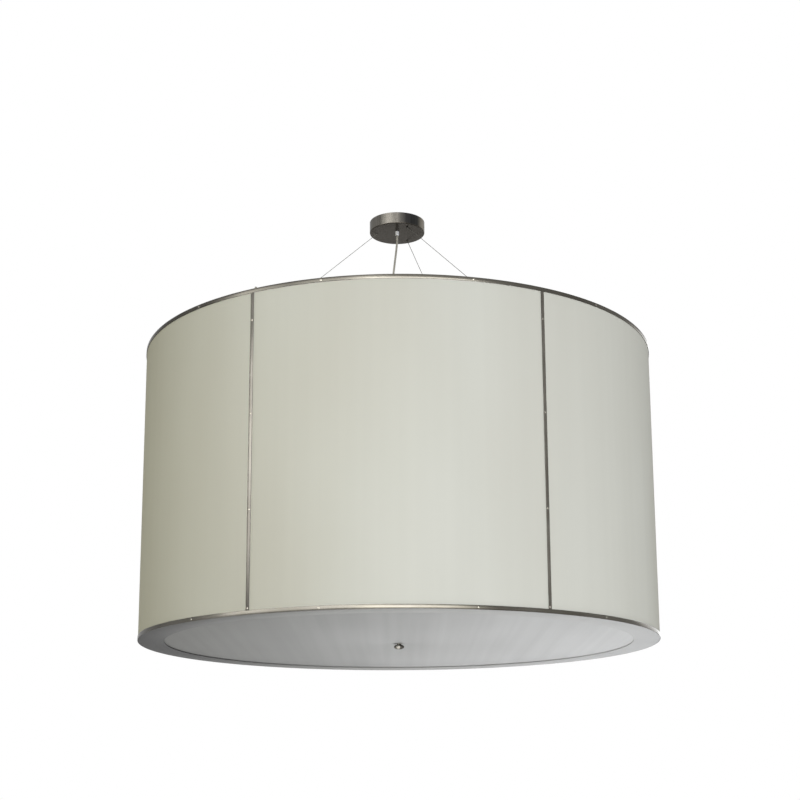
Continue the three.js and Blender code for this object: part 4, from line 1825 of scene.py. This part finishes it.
@dataclass
class Spider:
    """The hub that joins the six arms: its plate, domed cover, cord gland, centre rod and bolts."""

    drum: DrumSizes
    rack: FinishRack
    cover_wall: float = 1.6 * MM
    dome_rise: float = 6 * MM
    notch_reach: float = 5 * MM
    arm_width: float = 15.9 * MM
    arm_height: float = 25.4 * MM
    end_plate_thickness: float = 3.2 * MM
    rod_radius: float = 4.75 * MM
    rod_tip_radius: float = 3.1 * MM
    rod_rounding: float = 0.3 * MM
    rod_head_radius: float = 9 * MM
    rod_head_height: float = 6 * MM
    rod_head_rounding: float = 0.8 * MM
    gland_neck_radius: float = 6 * MM
    gland_flange_radius: float = 9 * MM
    gland_flange_height: float = 2.4 * MM
    gland_shoulder: Point = (2 * MM, 0.8 * MM)
    gland_cone: Point = (0.6 * MM, 3 * MM)
    gland_top_radius: float = 5 * MM
    gland_rounding: float = 1 * MM
    bore_radius: float = 3.5 * MM
    bolt_radius: float = 4.1 * MM
    bolt_height: float = 3.4 * MM
    bolt_shares: Point = (0.55, 0.82)
    rounding: float = 0.5 * MM

    def plate(self) -> None:
        """Turn the hub plate with its bolts, two under each arm."""
        low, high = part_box("hub_plate")
        outer = (high.x - low.x) / 2
        plate = Bench.turn("hub_disc", section(self.rod_radius + SEAT, outer, low.z, high.z), 96)
        Bench.round_edges(plate, self.rounding)
        bolt = Bench.bar("bolt", self.bolt_radius, low.z - self.bolt_height, low.z, 6, self.rounding)
        places = [at_upright(number, outer * share) for number in UPRIGHTS for share in self.bolt_shares]
        bolts = [Bench.copy(bolt, "hub_bolt", place) for place in places]
        bpy.data.objects.remove(bolt)
        plate = Bench.join("hub_disc", [plate, *bolts])
        Bench.smooth(plate)
        self.rack.hand_over(plate, Finish.FRAME, "fixture", "hub_plate")

    def cover(self) -> None:
        """Turn the domed cover and notch it round each arm."""
        low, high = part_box("hub_cover")
        outer = (high.x - low.x) / 2
        inner = outer - self.cover_wall
        hole = self.gland_neck_radius + SEAT
        eaves = high.z - self.dome_rise
        inner_top = high.z - self.cover_wall
        inner_dome = curve_points(
            [(hole, inner_top), (outer / 2, inner_top), (inner, eaves - self.cover_wall)], 12
        )
        outer_dome = curve_points([(outer, eaves), (outer / 2, high.z), (hole, high.z)], 12)
        cover = Bench.turn("hub_dome", [*inner_dome, (inner, low.z), (outer, low.z), *outer_dome], 120)
        half = self.arm_width / 2 + SEAT
        reach = self.notch_reach
        notch_top = low.z + self.arm_height + SEAT
        notches = []
        for number in UPRIGHTS:
            notch = Bench.block("notch", (outer / 2, -half, low.z - reach), (outer + reach, half, notch_top))
            notches.append(Bench.settle(notch, at_upright(number, 0)))
        Bench.cut(cover, notches)
        Bench.smooth(cover)
        self.rack.hand_over(cover, Finish.FRAME, "fixture", "hub_cover")

    def gland(self) -> None:
        """Turn the gland that takes the cord into the hub."""
        low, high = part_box("hub_gland")
        flange_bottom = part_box("hub_cover")[1].z + SEAT
        flange_top = flange_bottom + self.gland_flange_height
        slope, slope_rise = self.gland_shoulder
        cone, cone_height = self.gland_cone
        nose = self.gland_rounding
        outline = [
            (self.bore_radius, low.z),
            (self.gland_neck_radius, low.z),
            (self.gland_neck_radius, flange_bottom),
            (self.gland_flange_radius, flange_bottom),
            (self.gland_flange_radius, flange_top),
            (self.gland_flange_radius - slope, flange_top + slope_rise),
            (self.gland_top_radius + cone, high.z - cone_height),
            *arc((self.gland_top_radius - nose, high.z - nose), nose, 0, 90, 4),
            (self.bore_radius, high.z),
        ]
        gland = Bench.turn("cord_gland", outline, 48)
        Bench.smooth(gland)
        self.rack.hand_over(gland, Finish.PORCELAIN, "fixture", "hub_gland")

    def rod(self) -> None:
        """Turn the centre rod and set its hexagon head on the hub plate."""
        low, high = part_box("centre_rod")
        head_bottom = high.z - self.rod_head_height
        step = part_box("finial_washer")[1].z + SEAT
        outline = [
            (0, low.z),
            (self.rod_tip_radius, low.z),
            (self.rod_tip_radius, step),
            (self.rod_radius, step),
            (self.rod_radius, head_bottom),
            (0, head_bottom),
        ]
        rod = Bench.turn("centre_shaft", outline, 40)
        Bench.round_edges(rod, self.rod_rounding)
        head = Bench.bar("head", self.rod_head_radius, head_bottom, high.z, 6, self.rod_head_rounding)
        rod = Bench.join("centre_shaft", [rod, head])
        Bench.smooth(rod)
        self.rack.hand_over(rod, Finish.BRIGHT, "fixture", "centre_rod")

    def end_bolts(self) -> None:
        """Bolt each arm's end plate to its upright, one bolt above the arm and one below."""
        low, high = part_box("arm_1")
        middle = (low.z + high.z) / 2
        face = self.drum.upright_inner - SEAT - self.end_plate_thickness
        offset = (self.arm_height + high.z - low.z) / 4
        bolt = Bench.bar("bolt", self.bolt_radius, 0, self.bolt_height, 6, self.rounding)
        Bench.lay(bolt, "Y", -QUARTER_TURN)
        for number in UPRIGHTS:
            places = [at_upright(number, face, middle + side * offset) for side in (-1, 1)]
            bolts = [Bench.copy(bolt, "end_bolt", place) for place in places]
            pair = Bench.join(f"arm_bolts_{number}", bolts)
            Bench.smooth(pair)
            self.rack.hand_over(pair, Finish.BRIGHT, "fixture")
        bpy.data.objects.remove(bolt)

    def make(self) -> None:
        """Make the hub and paint the arms."""
        self.plate()
        self.cover()
        self.gland()
        self.rod()
        self.end_bolts()
        self.rack.dress_nodes([f"arm_{number}" for number in UPRIGHTS], Finish.FRAME)


@dataclass
class Lamps:
    """Six porcelain lampholders with their sleeves, and six opal lamps with threaded caps."""

    rack: FinishRack
    ring_radius: float = 380 * MM
    neck_radius: float = 4.8 * MM
    shoulder_radius: float = 12 * MM
    shoulder_chamfer: float = 1 * MM
    shell_radius: float = 19.5 * MM
    bead: float = 1.4 * MM
    taper: float = 10 * MM
    holder_length: float = 48 * MM
    socket_radius: float = 15.5 * MM
    socket_depth: float = 30 * MM
    sleeve_gap: float = 0.2 * MM
    sleeve_ends: Point = (2 * MM, 1 * MM)
    sleeve_wall: float = 0.6 * MM
    sleeve_inset: float = 1.1 * MM
    sleeve_swing: float = 0.3 * MM
    sleeve_turns: int = 7
    cap_radius: float = 13 * MM
    cap_root_radius: float = 12.2 * MM
    cap_length: float = 26 * MM
    cap_tip_radius: float = 5 * MM
    cap_tip_length: float = 4 * MM
    cap_tip_foot: float = 1.5 * MM
    cap_edge: float = 1 * MM
    thread_turns: int = 6
    thread_ends: Point = (3 * MM, 4 * MM)
    glass_inset: float = 0.4 * MM
    glass_neck_radius: float = 14 * MM
    glass_radius: float = 30 * MM

    def holder(self) -> Piece:
        """Turn one lampholder, with rounded shoulders and a beaded mouth.

        Returns:
            The lampholder on the Z axis, at its own height.
        """
        low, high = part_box("lampholder_1")
        mouth = low.z
        top = mouth + self.holder_length
        socket_top = mouth + self.socket_depth
        bead = self.bead
        shell = self.shell_radius
        waist = shell - bead / 2
        shoulder = [
            (waist, top - self.taper),
            (waist, top - self.taper / 3),
            (self.shoulder_radius, top - self.shoulder_chamfer),
        ]
        outline = [
            (0, socket_top),
            (self.socket_radius, socket_top),
            (self.socket_radius, mouth + bead),
            *arc((shell - bead, mouth + bead), bead, -90, 40, 6),
            (shell - bead, mouth + 3 * bead),
            (waist, mouth + 4 * bead),
            *curve_points(shoulder, 8),
            (self.shoulder_radius - self.shoulder_chamfer, top),
            (self.neck_radius, top),
            (self.neck_radius, high.z),
            (0, high.z),
        ]
        return Bench.turn("holder", outline, 56)

    def sleeve(self) -> Piece:
        """Turn the threaded metal sleeve that lines a lampholder.

        Returns:
            The sleeve on the Z axis, at its own height.
        """
        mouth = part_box("lampholder_1")[0].z
        outer = self.socket_radius - self.sleeve_gap
        below, above = self.sleeve_ends
        ends = (mouth + below, mouth + self.socket_depth - above)
        wave = thread_points(outer - self.sleeve_inset, -self.sleeve_swing, *ends, self.sleeve_turns, 6)
        back = [(radius + self.sleeve_wall, height) for radius, height in reversed(wave)]
        return Bench.turn("sleeve", [*wave, *back], 48)

    def cap(self) -> Piece:
        """Turn a lamp's metal cap with its thread and its contact tip.

        Returns:
            The cap on the Z axis, at its own height.
        """
        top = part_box("lamp_1")[1].z
        cap_top = top - self.cap_tip_length
        cap_bottom = cap_top - self.cap_length
        middle = (self.cap_radius + self.cap_root_radius) / 2
        swing = (self.cap_radius - self.cap_root_radius) / 2
        above, below = self.thread_ends
        edge = self.cap_edge
        outline = [
            (0, top),
            (self.cap_tip_radius - edge, top),
            (self.cap_tip_radius, top - edge),
            (self.cap_tip_radius, cap_top + self.cap_tip_foot),
            (self.cap_root_radius - 2 * edge, cap_top),
            *thread_points(middle, swing, cap_top - above, cap_bottom + below, self.thread_turns, 8),
            (self.cap_radius, cap_bottom),
            (0, cap_bottom),
        ]
        return Bench.turn("cap", outline, 48)

    def glass(self) -> Piece:
        """Turn a lamp's opal glass below its cap.

        Returns:
            The glass on the Z axis, at its own height.
        """
        low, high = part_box("lamp_1")
        cap_bottom = high.z - self.cap_tip_length - self.cap_length
        globe_middle = low.z + self.glass_radius
        shoulder = [
            (self.glass_neck_radius, cap_bottom - self.cap_tip_length),
            (self.glass_neck_radius, globe_middle + self.glass_radius),
            (self.glass_radius, globe_middle + self.glass_radius),
            (self.glass_radius, globe_middle),
        ]
        outline = [
            (0, cap_bottom),
            (self.cap_radius - self.glass_inset, cap_bottom),
            (self.cap_radius, cap_bottom - self.cap_edge),
            *curve_points(shoulder, 16),
            *arc((0, globe_middle), self.glass_radius, -5, -85, 18),
            (0, low.z),
        ]
        return Bench.turn("glass", outline, 56)

    def make(self) -> None:
        """Make one lampholder and lamp and copy them round the ring."""
        patterns = {
            "holder": (self.holder(), Finish.PORCELAIN, "lampholder_{}"),
            "sleeve": (self.sleeve(), Finish.BRIGHT),
            "lamp_cap": (self.cap(), Finish.BRIGHT, "", "lamp_{}"),
            "lamp_glass": (self.glass(), Finish.OPAL, "lamp_{}", "lamp_{}"),
        }
        places = {number: at_upright(number, self.ring_radius) for number in UPRIGHTS}
        for name, (pattern, *ties) in patterns.items():
            Bench.smooth(pattern, 40)
            self.rack.hand_out(pattern, name, places, *ties)


@dataclass
class Underside:
    """The diffuser on its flange, and the washer and finial that hold its middle."""

    rack: FinishRack
    diffuser_hole: float = 5.55 * MM
    diffuser_rounding: float = 0.8 * MM
    tip_bore: float = 3.5 * MM
    collar_radius: float = 6 * MM
    collar_height: float = 0.6 * MM
    rim_height: float = 0.8 * MM
    washer_rounding: float = 0.2 * MM
    fillet: float = 0.3 * MM

    def diffuser(self) -> None:
        """Turn the flat sheet with its polished edge and centre hole."""
        low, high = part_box("diffuser")
        sheet = Bench.turn("diffuser_sheet", section(self.diffuser_hole, high.x, low.z, high.z), RIM_STEPS)
        Bench.soften(sheet, self.diffuser_rounding, 3)
        self.rack.hand_over(sheet, Finish.DIFFUSER, "diffuser", "diffuser")

    def washer(self) -> None:
        """Turn the dished washer above the finial."""
        low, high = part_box("finial_washer")
        rim = (high.x - low.x) / 2
        dish = [(self.collar_radius, low.z), (rim, low.z), (rim, high.z - self.rim_height)]
        outline = [(self.tip_bore, low.z), *curve_points(dish, 6), (rim, high.z), (self.tip_bore, high.z)]
        washer = Bench.soften(Bench.turn("dished_washer", outline, 72), self.washer_rounding)
        self.rack.hand_over(washer, Finish.WASHER, "washer", "finial_washer")

    def finial(self) -> None:
        """Turn the low finial with its waist, its rounded knob and its blind bore."""
        low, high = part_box("finial")
        knob = (high.x - low.x) / 2
        bore_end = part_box("centre_rod")[0].z - SEAT
        neck_end = high.z - self.collar_height
        half_height = (neck_end - low.z) / 2
        stretch = half_height / knob
        middle = low.z + half_height
        start = math.degrees(math.acos((self.collar_radius + self.fillet) / knob))
        ball = [(radius, middle + height * stretch) for radius, height in arc((0, 0), knob, start, -90, 28)]
        neck = [(self.collar_radius, neck_end + self.fillet), (self.collar_radius, neck_end), ball[0]]
        outline = [
            (0, bore_end),
            (self.tip_bore, bore_end),
            (self.tip_bore, high.z),
            (self.collar_radius, high.z),
            *curve_points(neck, 4),
            *ball[1:-1],
            (0, low.z),
        ]
        finial = Bench.turn("finial_knob", outline, 72)
        Bench.smooth(finial)
        self.rack.hand_over(finial, Finish.FINIAL, "finial", "finial")

    def make(self) -> None:
        """Make the diffuser, the washer and the finial."""
        self.diffuser()
        self.washer()
        self.finial()


class Shows(Enum):
    """Which surfaces show a lamp: whether matt ones do, and whether metal does."""

    IN_MATT = (True, False)
    IN_METAL = (False, True)


@dataclass(frozen=True)
class Softbox:
    """A soft lamp that faces the drum. Its bearing is 0 towards the camera and grows to the right."""

    name: str
    bearing: float
    elevation: float
    distance: float
    width: float
    height: float
    brightness: float
    shows: Shows
    tint: Triple = (1.0, 1.0, 1.0)

    def set_up(self, aim: Vector) -> None:
        """Hang the lamp and turn it to its aim.

        Args:
            aim: The place that it lights.
        """
        bearing, elevation = math.radians(self.bearing), math.radians(self.elevation)
        level = self.distance * math.cos(elevation)
        offset = Vector(
            (level * math.sin(bearing), -level * math.cos(bearing), self.distance * math.sin(elevation))
        )
        bpy.ops.object.light_add(type="AREA", location=aim + offset)
        lamp = Bench.take(self.name)
        lamp.rotation_euler = (-offset).to_track_quat("-Z", "Y").to_euler()
        lamp.data.shape = "RECTANGLE"
        lamp.data.size = self.width
        lamp.data.size_y = self.height
        lamp.data.color = self.tint
        lamp.data.energy = self.brightness * math.pi * self.width * self.height
        lamp.visible_camera = False
        lamp.visible_diffuse, lamp.visible_glossy = self.shows.value


@dataclass
class Studio:
    """A white room: the sky's even light, soft lamps and a pale floor far below the drum."""

    drum: DrumSizes
    sky_on_object: float = 0.3
    floor_drop: float = 2.3
    floor_side: float = 400.0
    floor_colour: str = "CECECD"
    floor_glow: float = 0.7
    softboxes: tuple[Softbox, ...] = (
        Softbox("key", 15, 6, 5.0, 2.6, 2.0, 8.1, Shows.IN_MATT, (0.98, 1.0, 1.03)),
        Softbox("right_fill", 95, 2, 5.0, 1.4, 2.0, 3.3, Shows.IN_MATT),
        Softbox("warm_left", -55, 2, 5.0, 2.0, 2.0, 3.0, Shows.IN_MATT, (1.0, 0.93, 0.55)),
        Softbox("under_right", 90, -73, 1.7, 2.2, 0.7, 2.6, Shows.IN_MATT),
        Softbox("back_fill", 180, 14, 5.0, 3.0, 2.0, 5.6, Shows.IN_MATT),
        Softbox("left_window", -40, 12.4, 5.0, 6.2, 3.0, 4.2, Shows.IN_METAL),
        Softbox("front_window", 9, 2.3, 5.0, 4.0, 1.9, 8.8, Shows.IN_METAL),
        Softbox("back_window", 160, 10, 5.0, 8.0, 2.5, 3.0, Shows.IN_METAL),
    )

    def sky(self) -> None:
        """Light the scene evenly, and show plain white behind it and in its metal and glass."""
        world = bpy.data.worlds.new("white_room")
        bpy.context.scene.world = world
        world.use_nodes = True
        wiring = Wiring(world.node_tree)
        background = wiring.tree.nodes["Background"]
        background.inputs["Color"].default_value = (1, 1, 1, 1)
        strength = wiring.remap(wiring.seen(), (0.0, 1.0), (self.sky_on_object, 1.0))
        wiring.wire(strength, background.inputs["Strength"])

    def floor(self) -> None:
        """Lay the pale floor, which looks white and keeps the drum's shadow."""
        height = self.drum.bottom - self.floor_drop
        bpy.ops.mesh.primitive_plane_add(size=self.floor_side, location=(0, 0, height))
        floor = Bench.settle(Bench.take("floor"))
        recipe = Recipe("pale_floor")
        recipe.fix(Base_Color=paint(self.floor_colour), Roughness=0.8, Specular_IOR_Level=0.1)
        glow = recipe.node("ShaderNodeEmission")
        glow.inputs["Strength"].default_value = self.floor_glow
        both = recipe.node("ShaderNodeAddShader")
        recipe.wire(recipe.shader.outputs["BSDF"], both.inputs[0])
        recipe.wire(glow.outputs["Emission"], both.inputs[1])
        chosen = recipe.node("ShaderNodeMixShader")
        recipe.wire(recipe.seen(), chosen.inputs["Fac"])
        recipe.wire(recipe.shader.outputs["BSDF"], chosen.inputs[1])
        recipe.wire(both.outputs["Shader"], chosen.inputs[2])
        recipe.wire(chosen.outputs["Shader"], recipe.tree.nodes["Material Output"].inputs["Surface"])
        floor.data.materials.append(recipe.material)

    def make(self) -> None:
        """Set up the sky, the floor, the lamps and the plain view transform."""
        self.sky()
        self.floor()
        aim = Vector((0, 0, (self.drum.top + self.drum.bottom) / 2))
        for softbox in self.softboxes:
            softbox.set_up(aim)
        bpy.context.scene.view_settings.view_transform = "Standard"


def main() -> None:
    """Build every sub-assembly round the frame, the camera and the cords first."""
    logging.basicConfig(level=logging.INFO, format="%(name)s: %(message)s")
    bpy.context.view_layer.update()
    Bench.clear()
    drum = DrumSizes.from_frame()
    Viewpoint().set_up()
    rack = FinishRack()
    PowerCord(rack).make()
    lines = CableLines(drum, rack)
    lines.make()
    Canopy(rack, lines).make()
    Shade(drum, rack).make()
    Rims(drum, rack).make()
    InnerFrame(drum, rack).make()
    Spider(drum, rack).make()
    Lamps(rack).make()
    Underside(rack).make()
    Studio(drum).make()


if __name__ == "__main__":
    main()
